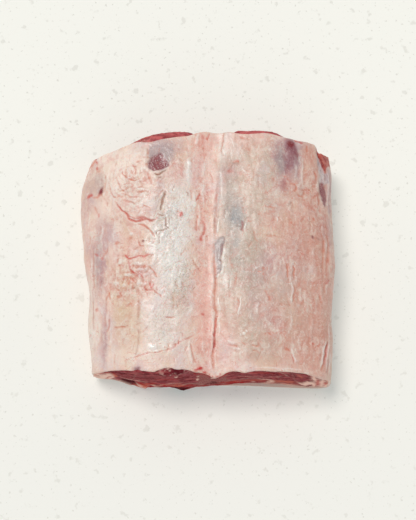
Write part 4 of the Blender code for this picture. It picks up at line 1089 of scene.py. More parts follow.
# %% Seams and streaks of the near cut
NEAR_LINES = (
    # the left flank: tip, membrane flap, pocket and folded layers
    ("rust", 0.9, 1.6, 0, ((-87, 24), (-82, 26), (-77, 28))),
    ("fat", 0.9, 2.4, 0.3, ((-86, 14), (-82, 12), (-78, 8))),
    ("blood", 0.7, 0.9, -0.3, ((-84, 22), (-78, 25), (-72, 26), (-66, 28))),
    ("fat", 0.95, 1.6, 0.4, ((-70, 7), (-65, 6), (-60, 4.5), (-56, 2))),
    ("blood", 0.7, 0.8, -0.4, ((-76, 6), (-74, 14), (-71, 20))),
    ("rust", 0.7, 0.8, 0.2, ((-79, 8), (-77, 14), (-74, 22))),
    ("shadow", 0.6, 1.2, -0.6, ((-70, 30), (-62, 34), (-52, 40))),
    ("fat", 0.5, 0.9, 0.2, ((-66, 20), (-58, 22), (-50, 23), (-44, 20))),
    ("blood", 0.6, 1.4, 0.2, ((-54, 18), (-48, 15), (-44, 10))),
    ("fat", 0.75, 1.2, 0.4, ((-53, 14), (-49, 9), (-45, 3))),
    ("blood", 0.8, 1.3, 0.2, ((-44, 6), (-40, 4), (-37, 3))),
    ("rust", 0.7, 1.4, 0.3, ((-46, 18), (-41, 14), (-36, 9))),
    ("shadow", 0.9, 1.4, -1, ((-41, 13), (-35, 11), (-29, 8), (-22, 7))),
    ("blood", 0.95, 1.6, 0.4, ((-39, 15), (-32, 13), (-26, 11))),
    ("fat", 0.65, 0.8, 0.4, ((-33, 18), (-27, 17), (-21, 18), (-15, 17))),
    ("blood", 0.65, 1.6, 0.2, ((-45, 17), (-37, 19), (-28, 18), (-17, 19.5))),
    ("rust", 0.6, 1.1, 0.3, ((-33, 20.5), (-26, 19.6), (-19, 21))),
    ("rust", 0.9, 1.7, 0.5, ((-27, 14), (-22, 14), (-17, 15))),
    ("blood", 0.55, 1.2, 0.4, ((-26, 12), (-18, 12.6), (-12, 13), (-7, 12))),
    ("shadow", 0.95, 1.6, -0.9, ((-31, 4), (-24, 3), (-17, 2.4))),
    ("shadow", 0.8, 1.2, -0.8, ((-20, 7), (-14, 6.6), (-9, 8))),
    ("fat", 0.5, 0.6, 0.2, ((-30, 22), (-24, 24), (-18, 23))),
    ("shadow", 0.5, 1, -0.4, ((-46, 26), (-36, 27), (-26, 29))),
    ("blood", 0.4, 1, 0.1, ((-40, 32), (-30, 34), (-20, 33))),
    ("shadow", 0.5, 1.6, -0.5, ((-58, 30), (-46, 34), (-38, 36))),
    # blood pooled low in the middle
    ("blood", 0.95, 2.4, 0.5, ((-8, 6), (-2, 5), (6, 4.6), (18, 5))),
    ("shadow", 0.7, 1.1, -0.5, ((-2, 9), (5, 9.4), (11, 9))),
    ("blood", 0.9, 1.4, 0.3, ((-10, 48), (-5, 43), (0, 36), (4, 27))),
    ("blood", 0.9, 1.3, 0.3, ((9, 24), (12, 34), (16, 43))),
    ("blood", 0.7, 1.2, 0, ((-4, 45), (4, 34), (10, 42))),
    ("blood", 0.85, 2, 0.3, ((8, 11), (14, 12), (24, 7), (32, 5))),
    # the right loin: dark under the fat, fan-shaped streaks, pale seams low down
    ("shadow", 0.7, 1.8, -0.7, ((14, 46), (26, 48), (44, 49), (60, 46), (72, 38))),
    ("shadow", 0.7, 1.2, -0.4, ((-50, 46), (-44, 48), (-41, 48))),
    ("blood", 0.5, 1.6, 0, ((28, 40), (40, 38), (56, 34))),
    ("fat", 0.35, 0.8, 0.1, ((22, 30), (34, 27), (46, 26), (56, 28))),
    ("shadow", 0.4, 1, -0.3, ((20, 24), (34, 22), (46, 20))),
    ("shadow", 0.5, 0.9, -0.3, ((44, 42), (50, 34), (54, 26))),
    ("fat", 0.35, 0.7, 0.1, ((50, 42), (56, 35), (60, 27))),
    ("shadow", 0.5, 0.9, -0.3, ((58, 42), (62, 35), (66, 27))),
    ("rust", 0.5, 1, 0.1, ((64, 38), (68, 32), (70, 25))),
    ("fat", 0.9, 1.3, 0.3, ((42, 46), (46, 44), (51, 45.4))),
    ("fat", 0.9, 1, 0.4, ((44, 9), (47, 10), (50, 9.4))),
    ("rust", 0.7, 3.6, 0, ((44, 12), (54, 11), (66, 12))),
    ("rust", 0.6, 1.4, 0, ((18, 12), (30, 13), (42, 12))),
    ("fat", 0.95, 2.4, 0.7, ((38, 2.6), (54, 2.2), (68, 2.6), (80, 4))),
    ("rust", 0.6, 0.9, 0, ((36, 5.6), (54, 5.2), (70, 5.4))),
    ("blood", 0.7, 1.8, 0.3, ((80.6, 12), (81.4, 20), (80.4, 27))),
    ("fat", 0.9, 1.6, 0.4, ((84.4, 28), (84.6, 18), (83.6, 9))),
    ("rust", 0.9, 1.8, 0.3, ((88, 20), (88.6, 13), (87, 8))),
    ("blood", 0.6, 1, 0.2, ((86.6, 22), (87.4, 16))),
)
NEAR_SPOTS = (
    ("fat", 1, -74.5, 15, 5.6, 12, -10, 0.6), ("shadow", 1, -58.5, 11, 7, 9, -20, -1.8),
    ("rust", 0.85, -48.5, 9, 6, 8.5, -12, 0.8), ("fat", 0.5, -50.5, 12, 3.2, 3.4, 0, 0.3),
    ("blood", 0.6, -44, 4, 4, 3, 0, 0.3), ("fat", 1, 75, 15, 4.6, 7.5, -24, 0.5),
    ("fat", 0.9, 71, 10, 4, 3.4, 0, 0.3), ("fat", 0.8, -22.6, 41, 2, 1.8, 0, 0.4),
    ("shadow", 0.9, -20, 5, 6.5, 7, 0, 0), ("blood", 0.4, -18, 7, 3, 1.2, 10, 0.3),
    ("rust", 0.8, -82.5, 20, 3, 7, 0, 0.2), ("rust", 0.75, -68.6, 21, 3.2, 5.5, 0, 0.4),
    ("fat", 0.6, -70.6, 17, 1.6, 5, 0, 0.3), ("fat", 0.8, -7.6, 37, 1, 1.8, 0, 0.4),
    ("fat", 0.8, -7.2, 28, 1.1, 2.6, 0, 0.4), ("fat", 0.7, 33.6, 8.4, 2, 1, 0, 0.3),
    ("shadow", 0.8, 5.5, 12, 3, 3.4, 0, -0.4), ("fat", 0.6, 22, 46, 2.2, 1.4, 0, 0.2),
)
NEAR_BULGES = (
    # how far it stands out, x, z, half width, half height
    (0.5, -22, 26, 14, 12), (-0.8, -36, 4, 16, 9), (0.6, 40, 30, 24, 14), (-0.8, 3, 3, 9, 9),
    (2.1, -18.5, 4, 5, 7), (0.3, -49, 4, 5, 8), (0.8, -29, 54, 5, 6),
)
NEAR_DEPTH, NEAR_THICKNESS, NEAR_RADIUS, NEAR_RIND = 6.8, 9.0, 2.6, 1.7
print(len(NEAR_LINES), "seams and", len(NEAR_SPOTS), "spots on the near cut")

# %% Shape and paint the near cut
near_front = NEAR_EDGE_Y + curve_through(NEAR_SETBACK, near_x) - foot_lean(near_x, near_z)
near_round = rounding(near_x, near_z, near_top, near_bottom, NEAR_RADIUS)
near_bulge = -1.2 * bell(near_x - SPINE_X, 6) * ease(8, 30, near_z)
for amount, x, z, wide, high in NEAR_BULGES:
    near_bulge = near_bulge + amount * bell(near_x - x, wide) * bell(near_z - z, high)
near_surface = face_surface(near_x, near_z, near_front, near_top, NEAR_RIND)
near_y = near_front + NEAR_DEPTH - (NEAR_DEPTH + near_bulge) * near_round
true_places = np.stack((near_x, near_y, near_z), axis=-1).reshape(-1, 3)
bare = (1 - ease(2.0, 7.0, near_top - near_z)) * ease(-80, -70, near_x) * (1 - ease(-12, -5, near_x))
near_surface.layers["fat"] *= 1 - bare.ravel()
on_top = (bare * ease(-42, -37, near_x)).ravel()
everywhere = np.arange(near_x.size)
crumbly = ease(0.14, 0.34, noise(true_places, (1.8, 1.2, 1.2), 96))
crumbs = on_top * bell(near_x + 25, 10).ravel() * crumbly
clumps = on_top * ease(0.0, 0.4, noise(true_places, 2.4, 97))
near_surface.add("shadow", everywhere, 0.25 * on_top + 0.5 * clumps)
near_surface.add("fat", everywhere, 0.75 * crumbs)
near_surface.relief += 0.8 * clumps + 0.5 * crumbs
for layer, strength, width, height, points in NEAR_LINES:
    near_surface.line(layer, strength, width, height, points)
for layer, strength, x, z, half_x, half_z, turn, height in NEAR_SPOTS:
    near_surface.spot(layer, strength, x, z, half_x, half_z, turn, height, 0.5)
print({name: round(float(paint.mean()), 3) for name, paint in near_surface.layers.items()})


# %% Fibres, and the slab itself
FACE_LAYERS = ("eye_top_light", "fat", "bone", "fillet", "blood", "shadow", "rust")
THIN_RIM = 3.2


def face_relief(surface):
    """The cut muscle's grain: bundles 2 to 3 mm wide, drawn out a little, with finer fibres across them."""
    bundles = 0.30 * (wrinkles(surface.solid, (3.4, 40.0, 2.1), 41) - 0.5)
    fibres = 0.12 * noise(surface.solid, (1.3, 40, 0.9), 42)
    bumps = 0.35 * noise(surface.solid, 6.0, 43)
    return surface.relief + (bundles + fibres) + bumps + 0.35 * surface.layers["fat"]


def slab(name, x, z, front, back, surface, direction):
    """A closed slab: a front grid with its grain, the same at the back, and a wall between their rims."""
    rows_up, columns_across = x.shape
    outside = np.stack((x, front, z), axis=-1)
    thick = np.abs(front - back) > THIN_RIM
    outside[..., 1] += direction * face_relief(surface).reshape(x.shape) * thick
    tucked = z - 0.1 * (z - 0.5 * (z[:1] + z[-1:]))
    behind = np.stack((x, np.broadcast_to(back, x.shape), tucked), axis=-1)
    points = np.concatenate((outside.reshape(-1, 3), behind.reshape(-1, 3)))
    points[:, 2] = np.maximum(points[:, 2], 0.0)
    count = rows_up * columns_across
    index = np.arange(count).reshape(rows_up, columns_across)
    cells = np.stack((index[:-1, :-1], index[:-1, 1:], index[1:, 1:], index[1:, :-1]), axis=-1).reshape(-1, 4)
    rim = np.concatenate((index[0, :-1], index[:-1, -1], index[-1, :0:-1], index[:0:-1, 0]))
    follow = np.roll(rim, -1)
    wall = np.stack((rim, rim + count, follow + count, follow), axis=-1)
    layers = {k: np.concatenate((surface.layers.get(k, np.zeros(count)),) * 2) for k in FACE_LAYERS}
    return make_piece(name, points, np.concatenate((cells, cells[:, ::-1] + count, wall)), (), layers)


near_back = near_front + NEAR_THICKNESS
near_cut = slab("near_cut", near_x, near_z, near_y, near_back, near_surface, -1.0)

# %% [markdown]
# ## The far cut
# At the far end the eyes of loin have drawn the fat back, so they stand a few millimetres beyond its edge
# and show from above as two red slivers. The rest repeats the near cut's anatomy.

# %% Far slab
FAR_LINES = (
    ("fat", 0.8, 1.2, 0.4, ((-62, 34), (-54, 24), (-50, 12))),
    ("fat", 0.8, 1.2, 0.4, ((66, 42), (60, 26), (56, 12))),
    ("fat", 0.7, 0.9, 0.3, ((-40, 22), (-30, 18), (-20, 20), (-12, 18))),
    ("fat", 0.6, 0.8, 0.3, ((20, 21), (34, 18), (48, 22))),
    ("shadow", 0.6, 1.6, -0.6, ((-60, 10), (-40, 6), (-20, 8))),
    ("blood", 0.7, 2.6, 0.3, ((-8, 10), (4, 7), (16, 9))),
    ("rust", 0.4, 1.4, 0, ((-50, 36), (-34, 30), (-22, 34))),
    ("rust", 0.4, 1.4, 0, ((24, 34), (40, 30), (56, 34))),
    ("fat", 0.55, 0.9, 0.2, ((-58, 46), (-50, 50), (-40, 54), (-28, 57))),
    ("fat", 0.4, 0.7, 0.2, ((-48, 45), (-36, 50), (-22, 55))),
    ("shadow", 0.5, 0.8, -0.2, ((-44, 55), (-32, 58.4), (-18, 59))),
    ("fat", 0.45, 0.8, 0.2, ((20, 53), (34, 57), (48, 57))),
    ("shadow", 0.4, 0.8, -0.2, ((16, 58), (30, 60), (44, 60))),
    ("rust", 0.5, 2, 0, ((-60, 50), (-50, 53), (-40, 56))),
    ("fat", 0.8, 2, 0.5, ((-80, 26), (-76, 14), (-60, 5))),
    ("fat", 0.8, 2, 0.5, ((84, 30), (80, 12), (64, 4))),
)
FAR_COLLAR = (
    (-97, 68), (-86, 74), (-70, 78.2), (-58, 81.2), (-46, 82.2), (-34, 83.6), (-20, 85.8), (-8, 88.6),
    (6, 88.6), (20, 87.8), (35, 87.2), (50, 86.6), (62, 84.6), (76, 82.8), (97, 76.6),
)
FAR_DEPTH, FAR_THICKNESS, FAR_RADIUS, FAR_RIND = 5.5, 8.0, 6.5, 1.4
LEFT_EYE_BULGE, RIGHT_EYE_BULGE = 6.6, 5.2
far_low_front = FAR_EDGE_Y - curve_through(FAR_SETBACK, far_x)
far_front = curve_through(FAR_COLLAR, far_x)
far_front = far_front + (far_low_front - far_front) * (1 - ease(8, 30, far_z))
far_round = rounding(far_x, far_z, far_top, far_bottom, FAR_RADIUS)
left_eye = ease(-75, -36, far_x) * (1 - ease(-22, 0, far_x))
right_eye = ease(9, 24, far_x) * (1 - ease(47, 71, far_x))
eyes = LEFT_EYE_BULGE * left_eye + RIGHT_EYE_BULGE * right_eye
far_bulge = eyes * ease(8, 30, far_z) + bell(np.abs(far_x - SPINE_X) - 40, 24)
far_surface = face_surface(far_x, far_z, far_front, far_top, FAR_RIND)
for layer, strength, width, height, points in FAR_LINES:
    far_surface.line(layer, strength, width, height, points)
both_eyes = np.clip(left_eye + right_eye, 0, 1)
far_surface.layers["fat"] *= 1 - (both_eyes * ease(30, 44, far_z)).ravel()
# Painted light: the tops of both far eyes are painted lighter red where they face the lamp
far_surface.layers["eye_top_light"] = (ease(34, 46, far_z) * both_eyes).ravel()
far_back = far_front - FAR_THICKNESS
far_y = far_front - FAR_DEPTH + (FAR_DEPTH + far_bulge) * far_round
far_cut = slab("far_cut", far_x, far_z, far_y, far_back, far_surface, 1.0)

# %% [markdown]
# ## Shader sums written as Python
# A material is a graph of small nodes. Writing `1 - mask * 0.5` should add the Math nodes for it, so a thin
# class wraps a socket and overloads the operators. A second class adds any other node in one call.

# %% Sockets with operators
class Sum:
    """A number's socket in a material, which Python's operators add Math nodes to."""

    def __init__(self, finish, socket):
        self.finish, self.socket = finish, socket

    def maths(self, operation, *values, clamp=False):
        values = values or (self,)
        settings = {"operation": operation, "use_clamp": clamp}
        node = self.finish.node("ShaderNodeMath", settings, dict(enumerate(values)))
        return Sum(self.finish, node.outputs[0])

    def __add__(self, other):
        return self.maths("ADD", self, other)

    def __sub__(self, other):
        return self.maths("SUBTRACT", self, other)

    def __mul__(self, other):
        return self.maths("MULTIPLY", self, other)

    def __rsub__(self, other):
        return self.maths("SUBTRACT", other, self)

    __radd__, __rmul__ = __add__, __mul__

    def clamped(self):
        return self.maths("ADD", self, 0.0, clamp=True)

    def step(self, low, high):
        """0 below low, 1 above high, smooth between."""
        settings = {"interpolation_type": "SMOOTHSTEP"}
        inputs = {"Value": self, "From Min": low, "From Max": high}
        node = self.finish.node("ShaderNodeMapRange", settings, inputs)
        return Sum(self.finish, node.outputs[0])


def linear(red, green, blue):
    """A colour from 0-255 screen values to the linear values that shaders use."""
    screen = np.array((red, green, blue)) / 255.0
    shares = np.where(screen <= 0.04045, screen / 12.92, ((screen + 0.055) / 1.055) ** 2.4)
    return (*(float(s) for s in shares), 1.0)


class Finish:
    """A material with a Principled shader, and one method for every other node."""

    def __init__(self, name, **constants):
        self.material = bpy.data.materials.new(name)
        self.material.use_nodes = True
        self.tree = self.material.node_tree
        self.shader = self.tree.nodes["Principled BSDF"]
        for socket, value in constants.items():
            self.shader.inputs[socket.replace("_", " ")].default_value = value
        self.place = self.node("ShaderNodeTexCoord").outputs["Object"]

    def node(self, kind, settings=None, inputs=None):
        """Adds a node: its settings first, then each socket's value or link."""
        node = self.tree.nodes.new(kind)
        for name, value in (settings or {}).items():
            setattr(node, name, value)
        for name, value in (inputs or {}).items():
            self.feed(node.inputs[name], value)
        return node

    def feed(self, socket, value):
        """Links a socket to a Sum or another socket, or sets its value."""
        if isinstance(value, (Sum, bpy.types.NodeSocket)):
            self.tree.links.new(value.socket if isinstance(value, Sum) else value, socket)
        else:
            socket.default_value = value

    def layer(self, name):
        """A vertex attribute as a number."""
        return Sum(self, self.node("ShaderNodeAttribute", {"attribute_name": name}).outputs["Fac"])

    def shaken(self, per_metre, reach):
        """The object's coordinates pushed about by coloured noise, up to half of reach each way."""
        inputs = {"Vector": self.place, "Scale": per_metre, "Detail": 2.0}
        push = self.node("ShaderNodeTexNoise", None, inputs)
        settings = {"operation": "MULTIPLY_ADD"}
        inputs = {0: push.outputs["Color"], 1: (reach, reach, reach), 2: self.place}
        return self.node("ShaderNodeVectorMath", settings, inputs).outputs[0]

    def noise(self, per_metre, detail=2.0, stretch=(1, 1, 1), place=None, turn=0.0):
        """Noise from 0 to 1 on the object's own coordinates, or on shaken ones, turned about Z."""
        if turn:
            settings = {"rotation_type": "Z_AXIS"}
            inputs = {"Vector": place or self.place, "Angle": math.radians(turn)}
            place = self.node("ShaderNodeVectorRotate", settings, inputs).outputs[0]
        inputs = {"Vector": place or self.place, "Scale": stretch}
        place = self.node("ShaderNodeMapping", None, inputs).outputs[0]
        inputs = {"Vector": place, "Scale": per_metre, "Detail": detail}
        return Sum(self, self.node("ShaderNodeTexNoise", None, inputs).outputs[0])

    def threads(self, per_metre, thin, place=None, stretch=(1, 1, 1)):
        """A web of thin lines: 1 where noise crosses its middle, 0 from `thin` away."""
        gap = (self.noise(per_metre, 2.0, stretch, place) - 0.5).maths("ABSOLUTE")
        return 1.0 - gap.step(0.0, thin)

    def cells(self, per_metre):
        """Distance to the nearest edge between cells, on the object's own coordinates."""
        settings, inputs = {"feature": "DISTANCE_TO_EDGE"}, {"Vector": self.place, "Scale": per_metre}
        return Sum(self, self.node("ShaderNodeTexVoronoi", settings, inputs).outputs["Distance"])

    def mix(self, share, first, second):
        """Two colours mixed by a share; 0, 6 and 7 are the Mix node's factor and its two colours."""
        inputs = {0: share, 6: first, 7: second}
        return self.node("ShaderNodeMix", {"data_type": "RGBA"}, inputs).outputs[2]

    def bump(self, height, strength, distance, normal=None):
        """A Bump node's normal, on top of another."""
        inputs = {"Height": height, "Strength": strength, "Distance": distance}
        if normal is not None:
            inputs["Normal"] = normal
        return self.node("ShaderNodeBump", None, inputs).outputs[0]


# %% [markdown]
# ## Raw fat
# The layers painted above are soft, because a vertex every 0.8 mm can't hold a crisp edge. The shader breaks
# each one with finer noise before it mixes the colour in, so a vein frays and a bruise mottles. Membrane and
# ridges are wetter than bare fat, which roughness and coat show.

# %% Tints of the fat
SOFT_TINTS = (
    # layer, colour, how far noise frays it
    ("cream", linear(255, 237, 223), 0.45), ("straw", linear(222, 192, 160), 0.5),
    ("salmon", linear(215, 160, 142), 0.4), ("rose", linear(238, 184, 170), 0.5),
    ("pearl", linear(198, 180, 163), 0.5), ("mauve", linear(188, 150, 156), 0.6),
    # the membrane's white is partly its own colour and partly painted sheen
    ("membrane_and_sheen", linear(242, 236, 229), 0.7), ("bruise", linear(142, 140, 140), 0.25),
    ("veil", linear(178, 156, 156), 0.5),
)
CRISP_TINTS = (
    ("meat", linear(196, 84, 70), 0.6), ("silver", linear(212, 200, 204), 0.5),
    ("plum", linear(138, 70, 82), 0.55), ("slit", linear(184, 168, 164), 0.6),
    ("lean", linear(152, 80, 86), 0.8), ("rust", linear(214, 120, 94), 0.6),
    ("umber", linear(150, 108, 86), 0.5), ("blood", linear(208, 74, 58), 0.5),
    # ridge: white along folds, partly the folds' own white and partly painted highlight
    ("dark_blood", linear(130, 34, 42), 0.4), ("ridge", linear(250, 247, 241), 0.5),
    ("clot", linear(196, 22, 18), 0.5),
)
print(len(SOFT_TINTS), "soft tints and", len(CRISP_TINTS), "crisp ones")

# %% Fat material and its soft tints
fat = Finish("raw_fat", Roughness=0.5, Coat_Weight=0.3, Coat_Roughness=0.2, Subsurface_Weight=0.12, IOR=1.42)
fat.shader.inputs["Subsurface Radius"].default_value = (1.0, 0.45, 0.3)
fat.shader.inputs["Subsurface Scale"].default_value = 0.0014
shaken = fat.shaken(160.0, 0.006)
fray = fat.noise(900.0, 3.0, place=shaken)
mottle = fat.noise(230.0, 4.0, place=shaken)
clouds = fat.noise(85.0, 4.0, place=shaken)
grainy = fat.noise(420.0, 3.0, (1.0, 0.3, 1.0), place=shaken)
colour = fat.mix(clouds.step(0.38, 0.62), linear(232, 198, 184), linear(242, 218, 204))
hue = fat.noise(75.0, 3.0, (1.0, 0.6, 1.0), place=shaken)
colour = fat.mix(hue.step(0.50, 0.66) * 0.5, colour, linear(230, 198, 166))
colour = fat.mix((1.0 - hue.step(0.34, 0.48)) * 0.5, colour, linear(216, 200, 204))
masks = {}
for name, tint, raggedness in SOFT_TINTS:
    mask = fat.layer(name)
    uneven = (clouds + mottle + grainy - 1.5) * (2.4 * raggedness)
    masks[name] = (mask * (1.0 + uneven)).clamped()
    colour = fat.mix(masks[name], colour, tint)
    if name == "mauve":
        lively = fat.layer("lively")
        flush = (mottle * 0.6 + clouds * 0.4).step(0.44, 0.62) * lively * 0.8
        colour = fat.mix(flush * (1.0 - fat.layer("membrane_and_sheen") * 0.7), colour, linear(214, 138, 122))
        pale = clouds.step(0.50, 0.64) * grainy.step(0.36, 0.6) * 0.6
        colour = fat.mix(pale, colour, linear(238, 222, 208))
print("with soft tints:", len(fat.tree.nodes), "nodes")

# %% Veins, pleats and films
veins = fat.threads(120.0, 0.014, shaken) * clouds.step(0.44, 0.58) * 0.6
colour = fat.mix(veins, colour, linear(214, 124, 104))
capillaries = fat.threads(330.0, 0.02, shaken) * mottle.step(0.5, 0.62) * lively * 0.6
colour = fat.mix(capillaries, colour, linear(206, 100, 84))
pleats = fat.noise(620.0, 2.0, (1.0, 0.18, 1.0), shaken, turn=34.0)
net = 1.0 - ((fat.noise(330.0, 3.0, place=shaken) - 0.5) * 6.0).maths("ABSOLUTE").clamped()
comb = fat.layer("comb")
colour = fat.mix((1.0 - pleats.step(0.34, 0.5)) * comb * 0.52, colour, linear(202, 188, 160))
colour = fat.mix(net.step(0.5, 0.95) * comb * 0.4, colour, linear(250, 246, 240))
films = fat.threads(210.0, 0.016, shaken, (1.0, 0.45, 1.0)) * 0.4
colour = fat.mix(films, colour, linear(248, 240, 232))
# Painted shade, darker and orange-pink, in the hollows; a painted highlight on the crests
colour = fat.mix(fat.layer("hollow_shade") * 0.65, colour, linear(206, 132, 108))
colour = fat.mix(fat.layer("crest_highlight") * 0.45, colour, linear(248, 236, 226))
print("with veins and pleats:", len(fat.tree.nodes), "nodes")

# %% Crisp marks
for name, tint, raggedness in CRISP_TINTS:
    mask = fat.layer(name)
    masks[name] = (mask + (fray + mottle - 1.0) * raggedness * (mask * (1.0 - mask) * 4.0)).clamped()
    colour = fat.mix(masks[name], colour, tint)
colour = fat.mix(masks["lean"] * (1.0 - mottle.step(0.4, 0.52)) * 0.6, colour, linear(112, 44, 54))
# pale flecks in the window: painted sparkle highlights
colour = fat.mix(masks["lean"] * fray.step(0.52, 0.64) * 0.5, colour, linear(204, 160, 156))
colour = fat.mix(masks["meat"] * (1.0 - clouds.step(0.42, 0.54)) * 0.6, colour, linear(148, 44, 44))
colour = fat.mix(masks["meat"] * mottle.step(0.5, 0.64) * 0.6, colour, linear(220, 132, 116))
stringy = 1.0 - fat.noise(260.0, 3.0, (2.4, 0.3, 2.4), place=shaken).step(0.36, 0.5)
colour = fat.mix((masks["silver"] + masks["plum"]) * stringy * 0.45, colour, linear(150, 96, 104))
colour = fat.mix(masks["veil"] * fray.step(0.5, 0.64) * 0.4, colour, linear(214, 198, 196))
colour = fat.mix(masks["veil"] * (1.0 - grainy.step(0.34, 0.46)) * 0.4, colour, linear(140, 112, 118))
colour = fat.mix(fray.step(0.52, 0.7) * (0.06 + lively * 0.4), colour, linear(250, 238, 228))
colour = fat.mix((1.0 - fray.step(0.3, 0.48)) * (0.04 + lively * 0.3), colour, linear(196, 138, 122))
colour = fat.mix(fat.layer("cut") * (1.0 - masks["meat"]) * 0.8, colour, linear(240, 212, 198))
fat.feed(fat.shader.inputs["Base Color"], colour)
print("with crisp marks:", len(fat.tree.nodes), "nodes")

# %% Gloss and bump
wet = (masks["membrane_and_sheen"] * 0.6 + masks["ridge"] * 0.4 + masks["lean"] * 0.5 + masks["slit"] * 0.5).clamped()
fat.feed(fat.shader.inputs["Roughness"], 0.52 - wet * 0.2 - mottle * 0.12)
fat.feed(fat.shader.inputs["Coat Weight"], 0.2 + wet * 0.5)
fine = fat.bump(fray * (0.5 + fat.layer("crinkle")), 0.6, 0.0006)
pressed = fat.bump((pleats * 1.2 + net * 0.6) * (comb + 0.15), 0.8, 0.0007, fine)
grain = fat.bump(grainy + fat.noise(2200.0, 2.0) * 0.4, 0.3, 0.0003, pressed)
fat.feed(fat.shader.inputs["Normal"], grain)
fat_cover.data.materials.append(fat.material)
print("fat:", len(fat.tree.nodes), "nodes")

# %% [markdown]
# ## Raw lean
# Cut lean is dark where it is dry. The tops of the far eyes are painted a lighter red: painted light where
# they face the lamp. The grain is a pattern of fibre bundles
# seen end on, with thin pale films between them, so cells are used for the bundles and stretched noise for
# the drag of the knife.

# %% Lean material
lean = Finish("raw_lean", Roughness=0.5, Coat_Weight=0.0, Subsurface_Weight=0.05, IOR=1.36)
lean.shader.inputs["Subsurface Radius"].default_value = (1.0, 0.2, 0.15)
lean.shader.inputs["Subsurface Scale"].default_value = 0.001
lean.shader.inputs["Specular IOR Level"].default_value = 0.06
shaken = lean.shaken(200.0, 0.004)
drag = lean.noise(240.0, 4.0, (1.0, 1.0, 2.6), place=shaken)
broad = lean.noise(70.0, 3.0, place=shaken)
bundle = lean.cells(520.0)
speck = lean.noise(1100.0, 2.0)
flesh = lean.mix(drag.step(0.36, 0.66), linear(118, 38, 46), linear(172, 82, 86))
fibrous = lean.noise(300.0, 3.0, (0.25, 1.0, 1.0), place=shaken)
flesh = lean.mix(fibrous.step(0.52, 0.66) * 0.5, flesh, linear(206, 110, 106))
flesh = lean.mix((1.0 - fibrous.step(0.34, 0.46)) * 0.6, flesh, linear(104, 18, 30))
flesh = lean.mix(broad.step(0.5, 0.7) * 0.5, flesh, linear(152, 64, 78))
flesh = lean.mix((1.0 - bundle.step(0.0, 0.06)) * 0.3, flesh, linear(184, 96, 94))
# painted light on the tops of the far eyes
flesh = lean.mix(lean.layer("eye_top_light") * (0.35 + drag.step(0.4, 0.6) * 0.5), flesh, linear(208, 110, 108))
flesh = lean.mix(lean.layer("fillet") * 0.5, flesh, linear(176, 66, 62))
flesh = lean.mix(lean.layer("rust") * 0.8, flesh, linear(232, 128, 102))
for name, tint, raggedness in (
    ("bone", linear(166, 104, 100), 0.7), ("fat", linear(255, 214, 198), 0.6),
    ("blood", linear(186, 34, 32), 0.5), ("shadow", linear(78, 12, 24), 0.4),
):
    mask = lean.layer(name)
    ragged = (mask + (drag + speck - 1.0) * raggedness * (mask * (1.0 - mask) * 4.0)).clamped()
    flesh = lean.mix(ragged, flesh, tint)
flesh = lean.mix(lean.layer("bone") * speck.step(0.48, 0.62) * 0.6, flesh, linear(130, 40, 42))
flesh = lean.mix(lean.layer("bone") * (1.0 - speck.step(0.34, 0.46)) * 0.4, flesh, linear(206, 160, 150))
flecks = lean.noise(700.0, 2.0, (1.0, 1.0, 2.0)).step(0.66, 0.74) * 0.35
flesh = lean.mix(flecks, flesh, linear(214, 140, 136))
lean.feed(lean.shader.inputs["Base Color"], flesh)
lean.feed(lean.shader.inputs["Roughness"], 0.62 - speck.step(0.5, 0.7) * 0.3)
fibres = lean.bump(bundle.step(0.0, 0.1), 0.35, 0.0003)
lean.feed(lean.shader.inputs["Normal"], lean.bump(speck, 0.25, 0.0002, fibres))
for piece in (near_cut, far_cut):
    piece.data.materials.append(lean.material)
print("lean:", len(lean.tree.nodes), "nodes")

# %% [markdown]
# ## Floor, light and camera
# The saddle lies on a plain pale surface. It glows faintly, painted light that lifts its shadows and cools
# them, and it is painted a shade lighter at the back to offset the shade behind the saddle. One big soft
# lamp stands high on the left and a little behind, so the shadow falls softly to the right and towards the
# viewer. A faint low lamp lights the near cut, and the pale world fills the rest.

# %% Floor
floor_mesh = bpy.data.meshes.new("floor")
FLOOR_REACH = 3.0
floor_corners = [(FLOOR_REACH * x, FLOOR_REACH * y, 0) for x, y in ((-1, -1), (1, -1), (1, 1), (-1, 1))]
floor_mesh.from_pydata(floor_corners, [], [(0, 1, 2, 3)])
floor = bpy.data.objects.new("floor", floor_mesh)
bpy.context.scene.collection.objects.link(floor)
# Painted light: the floor glows faintly to lift its shadows, and its glow is cooler than its colour so the
# shadows come out cool
stone = Finish("pale_stone", Roughness=0.9, Emission_Strength=0.29)
faint = (stone.noise(120.0, 3.0).step(0.62, 0.70) * 0.7 + stone.noise(380.0, 2.0).step(0.65, 0.72)).clamped()
# Painted light: a shade lighter towards the back, offsetting the shade behind the saddle
depth = Sum(stone, stone.node("ShaderNodeSeparateXYZ", None, {"Vector": stone.place}).outputs["Y"])
ground = stone.mix(depth.step(-0.06, 0.14), linear(244, 242, 235), linear(249, 247, 239))
pale = stone.mix(faint * 0.95, ground, linear(222, 219, 210))
stone.feed(stone.shader.inputs["Emission Color"], stone.mix(0.5, pale, linear(205, 244, 251)))
stone.feed(stone.shader.inputs["Base Color"], stone.mix(0.3, pale, linear(135, 95, 63)))
floor.data.materials.append(stone.material)
print("stone:", len(stone.tree.nodes), "nodes")

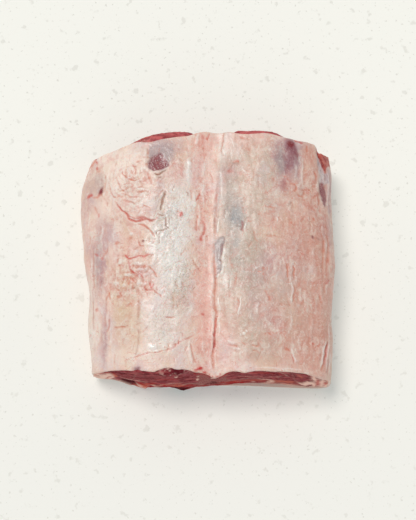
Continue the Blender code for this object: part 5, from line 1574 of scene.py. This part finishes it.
# %% Lamp and world
def aimed(obj, place, target):
    """Puts obj at a place with its -Z axis on the target and its Y axis up."""
    obj.location = place
    obj.rotation_euler = (Vector(target) - Vector(place)).to_track_quat("-Z", "Y").to_euler()


def sun(name, energy, spread, colour, place):
    """A lamp as far away as the sun: its angle of spread in degrees makes the shadows soft."""
    data = bpy.data.lights.new(name, "SUN")
    data.energy = energy
    data.angle = math.radians(spread)
    data.color = colour
    lamp = bpy.data.objects.new(name, data)
    bpy.context.scene.collection.objects.link(lamp)
    aimed(lamp, place, (0.0, 0.0, 0.0))


SOFTBOX_PLACE, FILL_PLACE = (-0.60, 0.52, 2.0), (0.2, -1.5, 0.8)
sun("softbox", 1.76, 26, (1.0, 0.986, 0.972), SOFTBOX_PLACE)
sun("fill", 0.26, 60, (1.0, 1.0, 1.0), FILL_PLACE)
world = bpy.data.worlds.new("studio")
world.use_nodes = True
sky = world.node_tree.nodes["Background"]
sky.inputs["Color"].default_value = (0.965, 0.992, 1.0, 1.0)
sky.inputs["Strength"].default_value = 0.39
bpy.context.scene.world = world
bpy.context.scene.view_settings.view_transform = "Standard"
print(len(bpy.data.lights), "lamps")

# %% Camera
ELEVATION = math.radians(75)
DISTANCE = 1.40
MM_PER_PIXEL = 0.747
FRAME_HEIGHT = 520
SENSOR = 36.0
camera_data = bpy.data.cameras.new("camera")
camera_data.sensor_width = SENSOR
camera_data.lens = SENSOR * DISTANCE / (FRAME_HEIGHT * MM_PER_PIXEL * MM)
camera_data.clip_end = 20.0
camera = bpy.data.objects.new("camera", camera_data)
bpy.context.scene.collection.objects.link(camera)
TARGET = (0.0004, 0.0, 0.03)
camera_place = (TARGET[0], -DISTANCE * math.cos(ELEVATION), TARGET[2] + DISTANCE * math.sin(ELEVATION))
aimed(camera, camera_place, TARGET)
bpy.context.scene.camera = camera
print("lens", round(camera_data.lens, 1), "mm")

# %% [markdown]
# ## Hand the pieces to the frame
# Every piece rides on the one body, and the three of them stand for the imported solid, which is hidden.

# %% Ride and replace
for piece, slot in ((fat_cover, "raw_fat"), (near_cut, "raw_lean"), (far_cut, "raw_lean")):
    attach(piece, "root")
    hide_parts("lamb_saddle")
